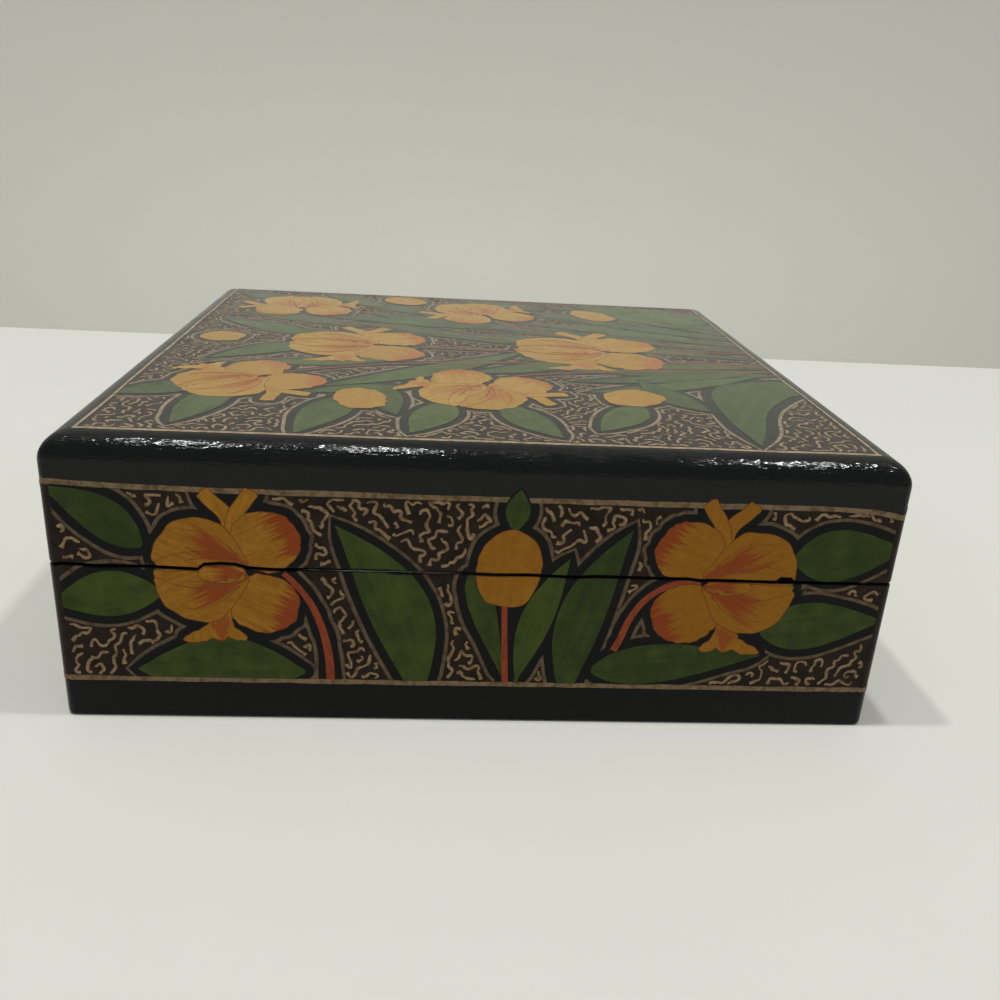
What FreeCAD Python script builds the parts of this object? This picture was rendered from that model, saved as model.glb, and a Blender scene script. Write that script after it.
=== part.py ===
"""A square lacquered papier-mache keepsake box with a hinged lid.

Thin boards make the carcass of the base and of the lid: four walls lapped at the corners, a bottom
panel let into a rebate, and a top board laid over the lid's walls. A papier-mache and gesso skin is
built up over the outside of each half. Two small brass butt hinges join the halves at the back.

Frame: millimetres, X to the right, Y to the back, Z up. The origin is the centre of the underside.
"""
import FreeCAD, Part
import os
import Sketcher

DRIVING_SIZES = {
    # whole box
    "box_width": 140.0,
    "box_depth": 140.0,
    "box_height": 50.0,
    "base_height": 28.4,
    # papier-mache skin
    "skin_thickness": 1.0,
    "seam_reveal": 0.3,
    "corner_radius": 1.6,
    "top_edge_radius": 4.2,
    "bottom_edge_bevel": 0.6,
    "seam_edge_bevel": 0.25,
    # boards
    "wall_thickness": 5.0,
    "bottom_thickness": 4.0,
    "top_thickness": 5.0,
    "corner_lap": 2.0,
    "bottom_rebate": 2.5,
    # butt hinges
    "hinge_inset": 28.0,
    "hinge_length": 20.0,
    "leaf_width": 5.4,
    "leaf_thickness": 0.8,
    "leaf_gap": 0.2,
    "knuckle_radius": 1.65,
    "knuckle_gap": 0.2,
    "knuckle_relief": 0.2,
    "pin_radius": 0.8,
    "pin_fit": 0.04,
    "axis_stand_off": 0.4,
    "barrel_clearance": 0.3,
    "mortise_clearance": 0.1,
    # hinge screws
    "screw_spacing": 10.0,
    "screw_line": 3.6,
    "screw_head_radius": 1.35,
    "screw_shank_radius": 0.65,
    "screw_length": 7.0,
    "screw_slot_width": 0.35,
    "screw_slot_depth": 0.35,
    # cut brads, square in section
    "brad_side": 0.9,
    "brad_length": 12.0,
    "brad_sink": 0.5,
    "brad_edge": 1.2,
    "corner_brad_margin": 5.0,
    "panel_brad_inset": 40.0,
}

KNUCKLES = 5
BASE_KNUCKLES = (0, 2, 4)
LID_KNUCKLES = (1, 3)
SIDES = (-1, 1)
SHEET = "sizes"
TOUCH = 1e-4
LEAST_CUT = 1e-3


class Size:
    """A length kept both as a number and as the text of a spreadsheet expression."""

    def __init__(self, text, value):
        self.text = text
        self.value = value

    def __add__(self, other):
        other = as_size(other)
        return Size(f"({self.text} + {other.text})", self.value + other.value)

    def __sub__(self, other):
        other = as_size(other)
        return Size(f"({self.text} - {other.text})", self.value - other.value)

    def __mul__(self, factor):
        return Size(f"({self.text} * {factor})", self.value * factor)

    def __truediv__(self, divisor):
        return Size(f"({self.text} / {divisor})", self.value / divisor)

    def __neg__(self):
        return self * -1

    __radd__ = __add__
    __rmul__ = __mul__


def as_size(number):
    """Wrap a plain number, so that it can be added to a Size."""
    return number if isinstance(number, Size) else Size(repr(float(number)), float(number))


def size(name):
    """The driving size of this name."""
    return Size(f"{SHEET}.{name}", DRIVING_SIZES[name])


# ---------------------------------------------------------------- places worked out from the sizes

ZERO = as_size(0)
CORE_X = size("box_width") / 2 - size("skin_thickness")
CORE_Y = size("box_depth") / 2 - size("skin_thickness")
INNER_X = CORE_X - size("wall_thickness")
INNER_Y = CORE_Y - size("wall_thickness")
LAP_Y = CORE_Y - size("corner_lap")
PANEL_X = INNER_X + size("bottom_rebate")
PANEL_Y = INNER_Y + size("bottom_rebate")
SEAM_Z = size("base_height")
CORE_TOP = size("box_height") - size("skin_thickness")
LID_WALL_TOP = CORE_TOP - size("top_thickness")
CORE_EDGE_RADIUS = size("top_edge_radius") - size("skin_thickness")
AXIS_Y = size("box_depth") / 2 + size("axis_stand_off")
KNUCKLE_PITCH = size("hinge_length") / KNUCKLES
LEAF_FACE = size("leaf_gap") / 2
MORTISE_DEPTH = LEAF_FACE + size("leaf_thickness")
MORTISE_Y = AXIS_Y - size("leaf_width") - size("mortise_clearance")
BARREL_SPACE = size("knuckle_radius") + size("barrel_clearance")
BARREL_Y = AXIS_Y - BARREL_SPACE
MORTISE_HALF = size("hinge_length") / 2 + size("mortise_clearance")
HINGE_X = size("box_width") / 2 - size("hinge_inset")
BRAD_X = size("box_width") / 2 - size("panel_brad_inset")
BRAD_Y = size("box_depth") / 2 - size("panel_brad_inset")


# ---------------------------------------------------------------- document helpers

def fill_sheet(doc):
    """Write the driving sizes into the spreadsheet, one aliased cell each."""
    sheet = doc.addObject("Spreadsheet::Sheet", SHEET)
    for row, (name, value) in enumerate(DRIVING_SIZES.items(), start=1):
        sheet.set(f"A{row}", name)
        sheet.set(f"B{row}", str(value))
        sheet.setAlias(f"B{row}", name)
    doc.recompute()
    return sheet


def bind(item, prop, length):
    """Bind one property of an object to a Size."""
    item.setExpression(prop, length.text)


def place(item, x=None, y=None, z=None):
    """Bind the placement of an object to Sizes, along the axes that are given."""
    for axis, length in (("x", x), ("y", y), ("z", z)):
        if length is not None:
            bind(item, f"Placement.Base.{axis}", length)


def turn(item, axis, degrees):
    """Turn an object about an axis through its own origin."""
    item.Placement = FreeCAD.Placement(item.Placement.Base, FreeCAD.Rotation(axis, degrees))


def new_body(doc, label):
    """Start a PartDesign body."""
    body = doc.addObject("PartDesign::Body", label)
    body.Label = label
    return body


def new_sketch(body, role, offset=None):
    """Start a sketch on one of the body's origin planes, raised along the plane's normal."""
    plane = next(item for item in body.Origin.OriginFeatures if item.Role == role)
    sketch = body.newObject("Sketcher::SketchObject", f"{body.Name}_sketch")
    sketch.AttachmentSupport = [(plane, "")]
    sketch.MapMode = "FlatFace"
    if offset is not None:
        bind(sketch, "AttachmentOffset.Base.z", offset)
    return sketch


def constrain(sketch, kind, first, second, length):
    """Add one dimension to a sketch and bind it to a Size."""
    index = sketch.addConstraint(Sketcher.Constraint(kind, *first, *second, length.value))
    sketch.setExpression(f"Constraints[{index}]", length.text)


def draw_outline(sketch, corners):
    """Draw a closed outline of level and upright lines through corners, each given as two Sizes."""
    origin = (-1, 1)
    first = sketch.GeometryCount
    count = len(corners)
    points = [FreeCAD.Vector(x.value, y.value, 0) for x, y in corners]
    for number, point in enumerate(points):
        sketch.addGeometry(Part.LineSegment(point, points[(number + 1) % count]), False)
    for number in range(count):
        following = first + (number + 1) % count
        sketch.addConstraint(Sketcher.Constraint("Coincident", first + number, 2, following, 1))
    for number, (x, y) in enumerate(corners):
        line = first + number
        after = points[(number + 1) % count]
        level = abs(after.x - points[number].x) > abs(after.y - points[number].y)
        sketch.addConstraint(Sketcher.Constraint("Horizontal" if level else "Vertical", line))
        if (y if level else x) is ZERO:
            sketch.addConstraint(Sketcher.Constraint("PointOnObject", line, 1, -1 if level else -2))
        elif level:
            constrain(sketch, "DistanceY", origin, (line, 1), y)
        else:
            constrain(sketch, "DistanceX", origin, (line, 1), x)


def draw_rectangle(sketch, left, low, right, high):
    """Draw a rectangle between two corners, given as Sizes."""
    draw_outline(sketch, [(left, low), (right, low), (right, high), (left, high)])


def draw_circle(sketch, radius):
    """Draw a circle about the sketch's origin."""
    circle = Part.Circle(FreeCAD.Vector(0, 0, 0), FreeCAD.Vector(0, 0, 1), radius.value)
    line = sketch.addGeometry(circle, False)
    sketch.addConstraint(Sketcher.Constraint("Coincident", line, 3, -1, 1))
    index = sketch.addConstraint(Sketcher.Constraint("Radius", line, radius.value))
    sketch.setExpression(f"Constraints[{index}]", radius.text)


def pad(body, sketch, length):
    """Pad a sketch along its normal."""
    feature = body.newObject("PartDesign::Pad", f"{body.Name}_pad")
    feature.Profile = sketch
    bind(feature, "Length", length)
    return feature


def pocket(body, sketch, length, along_normal):
    """Cut a sketch into the body, along the sketch's normal or against it."""
    feature = body.newObject("PartDesign::Pocket", f"{body.Name}_pocket")
    feature.Profile = sketch
    feature.Reversed = along_normal
    bind(feature, "Length", length)
    return feature


def edge_names(base, keep):
    """The names of those edges of a feature for which keep(edge) is true."""
    base.Document.recompute()
    return [f"Edge{n}" for n, edge in enumerate(base.Shape.Edges, start=1) if keep(edge)]


def fillet(body, base, keep, radius):
    """Round the edges that keep picks."""
    names = edge_names(base, keep)
    feature = body.newObject("PartDesign::Fillet", f"{body.Name}_fillet")
    feature.Base = (base, names)
    bind(feature, "Radius", radius)
    return feature


def chamfer(body, base, keep, width):
    """Bevel the edges that keep picks."""
    names = edge_names(base, keep)
    feature = body.newObject("PartDesign::Chamfer", f"{body.Name}_chamfer")
    feature.Base = (base, names)
    bind(feature, "Size", width)
    return feature


def is_upright(edge):
    """True for a straight edge along Z."""
    low = edge.BoundBox
    return low.ZLength > max(low.XLength, low.YLength)


def at_height(height):
    """A test for edges that lie level at a height, given as a Size."""
    def keep(edge):
        box = edge.BoundBox
        return max(abs(box.ZMin - height.value), abs(box.ZMax - height.value)) < TOUCH
    return keep


def group(doc, label, members):
    """Keep several separate solids as one node."""
    compound = doc.addObject("Part::Compound", label)
    compound.Label = label
    compound.Links = members
    return compound


def bored(doc, label, blank, fasteners):
    """A board with the holes that its fasteners fill."""
    board = doc.addObject("Part::Cut", label)
    board.Label = label
    board.Base = blank
    board.Tool = fasteners
    return board


# ---------------------------------------------------------------- boards of the carcass

def lapped_wall(doc, label, facing, foot, height):
    """The front (facing -1) or back (facing 1) wall, with a rebate at each end for the side wall."""
    body = new_body(doc, label)
    sketch = new_sketch(body, "XY_Plane", foot)
    outer = CORE_Y * facing
    lap = LAP_Y * facing
    inner = INNER_Y * facing
    draw_outline(sketch, [
        (-CORE_X, outer), (CORE_X, outer), (CORE_X, lap), (INNER_X, lap),
        (INNER_X, inner), (-INNER_X, inner), (-INNER_X, lap), (-CORE_X, lap),
    ])
    pad(body, sketch, height)
    return body


def side_wall(doc, label, facing, foot, height):
    """The left (facing -1) or right (facing 1) wall, plain, running between the laps."""
    body = new_body(doc, label)
    sketch = new_sketch(body, "XY_Plane", foot)
    left, right = (INNER_X, CORE_X) if facing > 0 else (-CORE_X, -INNER_X)
    draw_rectangle(sketch, left, -LAP_Y, right, LAP_Y)
    pad(body, sketch, height)
    return body


def cut_bottom_rebate(body):
    """Cut away the space of the bottom panel."""
    sketch = new_sketch(body, "XY_Plane")
    draw_rectangle(sketch, -PANEL_X, -PANEL_Y, PANEL_X, PANEL_Y)
    pocket(body, sketch, size("bottom_thickness"), along_normal=True)


def cut_mortises(body, into_lid):
    """Let the hinge leaves and the barrels into the rim of a back wall or of a skin."""
    beyond = AXIS_Y + size("knuckle_radius")
    for start, depth in ((MORTISE_Y, MORTISE_DEPTH), (BARREL_Y, BARREL_SPACE)):
        for side in SIDES:
            sketch = new_sketch(body, "XY_Plane", SEAM_Z)
            centre = HINGE_X * side
            draw_rectangle(sketch, centre - MORTISE_HALF, start, centre + MORTISE_HALF, beyond)
            pocket(body, sketch, depth, along_normal=into_lid)


def bottom_panel_blank(doc):
    """The bottom panel, flush with the foot of the walls."""
    body = new_body(doc, "bottom_panel_blank")
    sketch = new_sketch(body, "XY_Plane")
    draw_rectangle(sketch, -PANEL_X, -PANEL_Y, PANEL_X, PANEL_Y)
    pad(body, sketch, size("bottom_thickness"))
    return body


def rounded_block(doc, label, foot, height):
    """A block of the carcass's width and depth up to the lid's top, rounded along its upper edges."""
    body = new_body(doc, label)
    sketch = new_sketch(body, "XY_Plane", foot)
    draw_rectangle(sketch, -CORE_X, -CORE_Y, CORE_X, CORE_Y)
    block = pad(body, sketch, height)
    fillet(body, block, at_height(CORE_TOP), CORE_EDGE_RADIUS)
    return body


# ---------------------------------------------------------------- papier-mache skins

def skin_block(doc, label, foot, height):
    """A solid block of the box's outer width and depth, with its upright edges rounded."""
    body = new_body(doc, label)
    sketch = new_sketch(body, "XY_Plane", foot)
    half_x = size("box_width") / 2
    half_y = size("box_depth") / 2
    draw_rectangle(sketch, -half_x, -half_y, half_x, half_y)
    block = pad(body, sketch, height)
    return body, fillet(body, block, is_upright, size("corner_radius"))


def base_skin(doc):
    """The skin round the base: open above and below, stopping just short of the seam."""
    height = SEAM_Z - size("seam_reveal")
    body, block = skin_block(doc, "base_papier_mache_skin", ZERO, height)
    rim = chamfer(body, block, at_height(height), size("seam_edge_bevel"))
    chamfer(body, rim, at_height(ZERO), size("bottom_edge_bevel"))
    sketch = new_sketch(body, "XY_Plane")
    draw_rectangle(sketch, -CORE_X, -CORE_Y, CORE_X, CORE_Y)
    pocket(body, sketch, SEAM_Z, along_normal=True)
    cut_mortises(body, into_lid=False)
    return body


def lid_skin(doc):
    """The skin over the lid's walls and top board, with a well rounded upper edge."""
    foot = SEAM_Z + size("seam_reveal")
    body, block = skin_block(doc, "lid_skin_block", foot, size("box_height") - foot)
    top = fillet(body, block, at_height(size("box_height")), size("top_edge_radius"))
    chamfer(body, top, at_height(foot), size("seam_edge_bevel"))
    cut_mortises(body, into_lid=True)
    skin = doc.addObject("Part::Cut", "lid_papier_mache_skin")
    skin.Base = body
    skin.Tool = rounded_block(doc, "lid_core_form", SEAM_Z, CORE_TOP - SEAM_Z)
    return skin


# ---------------------------------------------------------------- butt hinges

def knuckle_ends(number):
    """The two ends of a knuckle along the pin, with half the end play at each."""
    left = KNUCKLE_PITCH * number - size("hinge_length") / 2
    play = size("knuckle_gap") / 2
    return left + play, left + KNUCKLE_PITCH - play


def leaf_outline(own):
    """The leaf's plan: a plate with a tongue to each of its own knuckles."""
    left = knuckle_ends(0)[0]
    right = knuckle_ends(KNUCKLES - 1)[1]
    heel = -size("leaf_width")
    root = -(size("knuckle_radius") + size("knuckle_relief"))
    front = []
    for number in own:
        start, end = knuckle_ends(number)
        first = [(start, root)] if number > 0 else []
        last = [(end, root)] if number < KNUCKLES - 1 else []
        front += first + [(start, ZERO), (end, ZERO)] + last
    if own[0] > 0:
        front = [(left, root)] + front + [(right, root)]
    return [(right, heel), (left, heel)] + front


def hinge_leaf(doc, label, own, side, over):
    """One leaf of a butt hinge, its knuckles centred on the pin; over turns it to face down."""
    body = new_body(doc, label)
    sketch = new_sketch(body, "XY_Plane", -MORTISE_DEPTH)
    draw_outline(sketch, leaf_outline(own))
    pad(body, sketch, size("leaf_thickness"))
    for number in own:
        start, end = knuckle_ends(number)
        sketch = new_sketch(body, "YZ_Plane", start)
        draw_circle(sketch, size("knuckle_radius"))
        pad(body, sketch, end - start)
    sketch = new_sketch(body, "YZ_Plane", size("hinge_length") / -2)
    draw_circle(sketch, size("pin_radius") + size("pin_fit"))
    pocket(body, sketch, size("hinge_length"), along_normal=True)
    place(body, HINGE_X * side, AXIS_Y, SEAM_Z)
    if over:
        turn(body, FreeCAD.Vector(0, 1, 0), 180)
    return body


def hinge_pin(doc, label, side):
    """The pin of a hinge: a plain wire along X, as long as the barrel."""
    pin = doc.addObject("Part::Cylinder", label)
    bind(pin, "Radius", size("pin_radius"))
    bind(pin, "Height", size("hinge_length"))
    turn(pin, FreeCAD.Vector(0, 1, 0), 90)
    left_end = HINGE_X * side - size("hinge_length") / 2
    place(pin, left_end, AXIS_Y, SEAM_Z)
    return pin


# ---------------------------------------------------------------- screws and brads

def screw_form(doc, name, x, over):
    """The full form of a countersunk screw: a cone and a shank, along Z under a leaf's face."""
    head = size("screw_head_radius")
    shank = size("screw_shank_radius")
    neck = head - shank
    rod = size("screw_length") - neck
    cone = doc.addObject("Part::Cone", f"{name}_head")
    bind(cone, "Height", neck)
    bind(cone, "Radius1", shank)
    bind(cone, "Radius2", head)
    place(cone, z=-neck)
    stem = doc.addObject("Part::Cylinder", f"{name}_shank")
    bind(stem, "Height", rod)
    bind(stem, "Radius", shank)
    place(stem, z=-neck - rod)
    form = doc.addObject("Part::MultiFuse", f"{name}_form")
    form.Shapes = [cone, stem]
    set_on_leaf(form, x, over)
    return form


def set_on_leaf(item, x, over):
    """Move a screw, or its slot, from the origin to the face of a leaf; over turns it upside down."""
    if over:
        turn(item, FreeCAD.Vector(1, 0, 0), 180)
    face = SEAM_Z + LEAF_FACE if over else SEAM_Z - LEAF_FACE
    place(item, x, AXIS_Y - size("screw_line"), face)


def slotted_screw(doc, name, form, x, over):
    """A screw with the driver's slot cut across its head."""
    reach = size("screw_head_radius") * 2
    slot = doc.addObject("Part::Box", f"{name}_slot")
    bind(slot, "Length", reach * 2)
    bind(slot, "Width", size("screw_slot_width"))
    bind(slot, "Height", size("screw_slot_depth") * 2)
    depth = size("screw_slot_depth")
    face = SEAM_Z + LEAF_FACE if over else SEAM_Z - LEAF_FACE
    middle = AXIS_Y - size("screw_line") - size("screw_slot_width") / 2
    place(slot, x - reach, middle, face - depth)
    screw = doc.addObject("Part::Cut", name)
    screw.Base = form
    screw.Tool = slot
    return screw


def brad(doc, name, x, y, z, axis, sense):
    """A headless cut brad, square in section, driven from a point along an axis, up or down it."""
    wire = doc.addObject("Part::Box", name)
    side = size("brad_side")
    length = size("brad_length")
    corner = {"x": x, "y": y, "z": z}
    for letter, prop in (("x", "Length"), ("y", "Width"), ("z", "Height")):
        bind(wire, prop, length if letter == axis else side)
        if letter != axis:
            corner[letter] = corner[letter] - side / 2
        elif sense < 0:
            corner[letter] = corner[letter] - length
    place(wire, **corner)
    return wire


def corner_brads(doc, label, foot, height):
    """Two brads through the lap at each corner, into the end of the side wall."""
    wires = []
    start = CORE_Y - size("brad_sink")
    across = CORE_X - size("wall_thickness") / 2
    levels = (foot + size("corner_brad_margin"), foot + height - size("corner_brad_margin"))
    for facing in SIDES:
        for side in SIDES:
            for level in levels:
                name = f"{label}_{len(wires) + 1}"
                wires.append(brad(doc, name, across * side, start * facing, level, "y", -facing))
    return group(doc, label, wires)


def panel_brads(doc, label, level, sense):
    """Two brads in each side of a panel, into the edges of the walls."""
    wires = []
    for side in SIDES:
        for shift in SIDES:
            edge_x = (INNER_X + size("brad_edge")) * side
            edge_y = (INNER_Y + size("brad_edge")) * side
            for x, y in ((edge_x, BRAD_Y * shift), (BRAD_X * shift, edge_y)):
                name = f"{label}_{len(wires) + 1}"
                wires.append(brad(doc, name, x, y, level, "z", sense))
    return group(doc, label, wires)


# ---------------------------------------------------------------- the assembly

def build_hinges(doc):
    """Both butt hinges and their screws; returns the nodes and the screw forms of each half."""
    nodes = []
    forms = {"base": [], "lid": []}
    screws = {"base": [], "lid": []}
    for side, hand in zip(SIDES, ("left", "right")):
        for half, own in (("base", BASE_KNUCKLES), ("lid", LID_KNUCKLES)):
            over = half == "lid"
            label = f"{hand}_hinge_{half}_leaf"
            blank = hinge_leaf(doc, f"{label}_blank", own, side, over)
            own_forms = []
            for shift in SIDES:
                x = HINGE_X * side + size("screw_spacing") / 2 * shift
                name = f"{hand}_{half}_screw_{len(own_forms) + 1}"
                form = screw_form(doc, name, x, over)
                own_forms.append(form)
                screws[half].append(slotted_screw(doc, name, form, x, over))
            forms[half] += own_forms
            nodes.append(bored(doc, label, blank, group(doc, f"{label}_forms", own_forms)))
        nodes.append(hinge_pin(doc, f"{hand}_hinge_pin", side))
    for half, members in screws.items():
        nodes.append(group(doc, f"{half}_hinge_screws", members))
    return nodes, forms


def build_half(doc, half, foot, height, panel, brads, forms):
    """The walls, the panel, the brads and the skin of one half of the box."""
    corners = corner_brads(doc, f"{half}_corner_brads", foot, height)
    holes = group(doc, f"{half}_holes", corners.Links + brads.Links + forms)
    blanks = {
        f"{half}_front_wall": lapped_wall(doc, f"{half}_front_blank", -1, foot, height),
        f"{half}_back_wall": lapped_wall(doc, f"{half}_back_blank", 1, foot, height),
        f"{half}_left_wall": side_wall(doc, f"{half}_left_blank", -1, foot, height),
        f"{half}_right_wall": side_wall(doc, f"{half}_right_blank", 1, foot, height),
    }
    if half == "base":
        for blank in blanks.values():
            cut_bottom_rebate(blank)
    cut_mortises(blanks[f"{half}_back_wall"], into_lid=half == "lid")
    blanks["bottom_panel" if half == "base" else "top_board"] = panel
    nodes = [bored(doc, label, blank, holes) for label, blank in blanks.items()]
    return nodes + [corners, brads]


def check(doc, nodes):
    """Stop with a message if any object failed, a cut missed, or a node holds no sound solid."""
    for item in doc.Objects:
        if "Invalid" in item.State or "Error" in item.State:
            raise RuntimeError(f"{item.Label} failed: {item.State}")
        if item.TypeId == "PartDesign::Pocket":
            if item.Shape.Volume >= item.BaseFeature.Shape.Volume - LEAST_CUT:
                raise RuntimeError(f"{item.Label} cuts nothing")
    for node in nodes:
        shape = node.Shape
        if shape.isNull() or not shape.isValid() or not shape.Solids:
            raise RuntimeError(f"{node.Label} is not a sound solid")


def build():
    """Build the document; returns the nodes, each to be written as its own file."""
    doc = FreeCAD.newDocument("keepsake_box")
    fill_sheet(doc)
    nodes, forms = build_hinges(doc)
    sink = size("brad_sink")
    bottom_brads = panel_brads(doc, "bottom_panel_brads", sink, 1)
    top_brads = panel_brads(doc, "top_board_brads", CORE_TOP - sink, -1)
    top_board = rounded_block(doc, "top_board_blank", LID_WALL_TOP, size("top_thickness"))
    nodes += build_half(doc, "base", ZERO, SEAM_Z, bottom_panel_blank(doc), bottom_brads,
                        forms["base"])
    nodes += build_half(doc, "lid", SEAM_Z, LID_WALL_TOP - SEAM_Z, top_board, top_brads,
                        forms["lid"])
    nodes += [base_skin(doc), lid_skin(doc)]
    doc.recompute()
    check(doc, nodes)
    return nodes


def write(nodes):
    """Write each node to its own STEP file."""
    os.makedirs("parts", exist_ok=True)
    for node in nodes:
        node.Shape.exportStep(f"parts/{node.Label}.step")
        box = node.Shape.BoundBox
        print(f"{node.Label:28s} solids {len(node.Shape.Solids):2d}  volume {node.Shape.Volume:10.2f}  "
              f"x {box.XMin:7.2f} {box.XMax:7.2f}  y {box.YMin:7.2f} {box.YMax:7.2f}  "
              f"z {box.ZMin:6.2f} {box.ZMax:6.2f}")


write(build())
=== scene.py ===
"""Kashmiri papier mache box: black lacquered skins, irises painted round the sides and over the lid,
gold lines and scrollwork, the finish of its boards, hinges, screws and brads, and a studio stage."""
import math
import random

import bmesh
import bpy
from bpy.props import FloatProperty, FloatVectorProperty, IntProperty, PointerProperty
from mathutils import Matrix, Vector
from mathutils.bvhtree import BVHTree


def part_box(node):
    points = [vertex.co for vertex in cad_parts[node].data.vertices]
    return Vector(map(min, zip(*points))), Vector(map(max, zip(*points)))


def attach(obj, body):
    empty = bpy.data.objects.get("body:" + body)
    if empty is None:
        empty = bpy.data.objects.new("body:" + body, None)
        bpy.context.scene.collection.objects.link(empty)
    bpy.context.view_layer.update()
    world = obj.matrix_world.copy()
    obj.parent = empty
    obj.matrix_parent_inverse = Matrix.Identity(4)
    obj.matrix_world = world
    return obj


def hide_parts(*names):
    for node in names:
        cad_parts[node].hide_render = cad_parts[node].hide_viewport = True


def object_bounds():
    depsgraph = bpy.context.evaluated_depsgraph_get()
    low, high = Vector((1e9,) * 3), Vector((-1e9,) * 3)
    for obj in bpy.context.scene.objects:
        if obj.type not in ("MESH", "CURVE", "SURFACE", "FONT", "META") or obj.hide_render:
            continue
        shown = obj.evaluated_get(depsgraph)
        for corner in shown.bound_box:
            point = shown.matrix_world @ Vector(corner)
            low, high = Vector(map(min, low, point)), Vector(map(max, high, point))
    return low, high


bl_info = {
    "name": "Kashmiri papier mache box",
    "version": (1, 0, 0),
    "blender": (4, 5, 0),
    "location": "View3D > Sidebar > Papier Mache",
    "description": "Builds the lacquered skins, the painted irises, the fittings' finish and a stage",
    "category": "Object",
}

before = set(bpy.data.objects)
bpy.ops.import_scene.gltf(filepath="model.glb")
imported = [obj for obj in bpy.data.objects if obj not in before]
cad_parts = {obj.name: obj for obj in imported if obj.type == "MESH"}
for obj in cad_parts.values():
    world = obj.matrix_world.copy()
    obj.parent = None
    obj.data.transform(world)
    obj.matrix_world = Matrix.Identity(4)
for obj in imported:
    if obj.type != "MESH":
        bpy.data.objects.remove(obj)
CAD_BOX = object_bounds()

MM = 0.001
HALF_WIDTH = CAD_BOX[1].x
BOX_TOP = CAD_BOX[1].z
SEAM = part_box("base_front_wall")[1].z
CARCASS_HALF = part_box("base_front_wall")[1].x
PAINT_BUILD = 0.14 * MM
PAINT_DEPTH = 0.13 * MM
FACE = HALF_WIDTH - PAINT_BUILD
TOP_FACE = BOX_TOP - PAINT_BUILD
SKIN = FACE - CARCASS_HALF
FRONT, RIGHT, BACK, LEFT = range(4)
SIDES = (FRONT, RIGHT, BACK, LEFT)
BODIES = ("base", "lid")
X_AXIS, Y_AXIS, Z_AXIS = Matrix.Identity(3)
QUARTER = math.pi / 2


# ---- settings

def amount(name, description, default, **extra):
    """An amount in the settings."""
    return FloatProperty(name=name, description=description, default=default, **extra)


def length(name, description, default):
    """A size in the settings, in metres."""
    return amount(name, description, default, unit="LENGTH", precision=5)


def bearing(name, description, degrees):
    """An angle in the settings."""
    return amount(name, description, math.radians(degrees), subtype="ANGLE")


def colour(name, description, default):
    """A colour in the settings, as linear red, green and blue."""
    return FloatVectorProperty(
        name=name, description=description, default=default, subtype="COLOR", min=0.0, max=1.0)


class SkinSettings(bpy.types.PropertyGroup):
    """Sizes of the papier-mache skins."""

    corner_radius: length("Corner radius", "Rounding of the upright corners", 1.6 * MM)
    top_radius: length("Top edge radius", "Rounding of the lid's upper edge", 4.2 * MM)
    foot_radius: length("Foot radius", "Rounding of the base's lower edge", 0.6 * MM)
    lip_radius: length("Lip radius", "Rounding of the two edges at the seam", 0.25 * MM)
    seam_reveal: length("Seam reveal", "How far each skin stops short of the seam", 0.2 * MM)
    seam_drift: length("Seam drift", "How far the broken seam strays from a straight line", 0.11 * MM)
    notch_play: length("Notch play", "Room left round the hinge barrels", 0.3 * MM)


class PaintSettings(bpy.types.PropertyGroup):
    """Sizes of the painted work."""

    band_foot: length("Band foot", "Height of the lower gold line", 7.5 * MM)
    band_head: length("Band head", "Height of the upper gold line", 41.9 * MM)
    line_width: length("Line width", "Width of the gold lines", 0.88 * MM)
    border_inset: length("Border inset", "The lid's gold border, in from the faces", 5.0 * MM)
    halo: length("Halo", "Width of the black left round each leaf and petal", 1.45 * MM)
    rim: length("Rim", "Width of the gold outline round that black", 0.62 * MM)
    wobble: length("Wobble", "How unsteadily the outlines are drawn", 0.14 * MM)
    leaf_line: length("Leaf line", "Width of the black between a leaf and one under it", 0.3 * MM)
    petal_line: length("Petal line", "Width of the dark line round each petal", 0.12 * MM)
    bare_edge: length("Bare edge", "Black left along both edges of the seam", 0.1 * MM)
    scroll_width: length("Scroll width", "Width of a stroke of the gold scrollwork", 0.6 * MM)
    scroll_pitch: length("Scroll pitch", "Distance between strokes of the scrollwork", 0.85 * MM)
    seed: IntProperty(name="Seed", description="Changes the hand's small irregularities", default=7)


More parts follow.
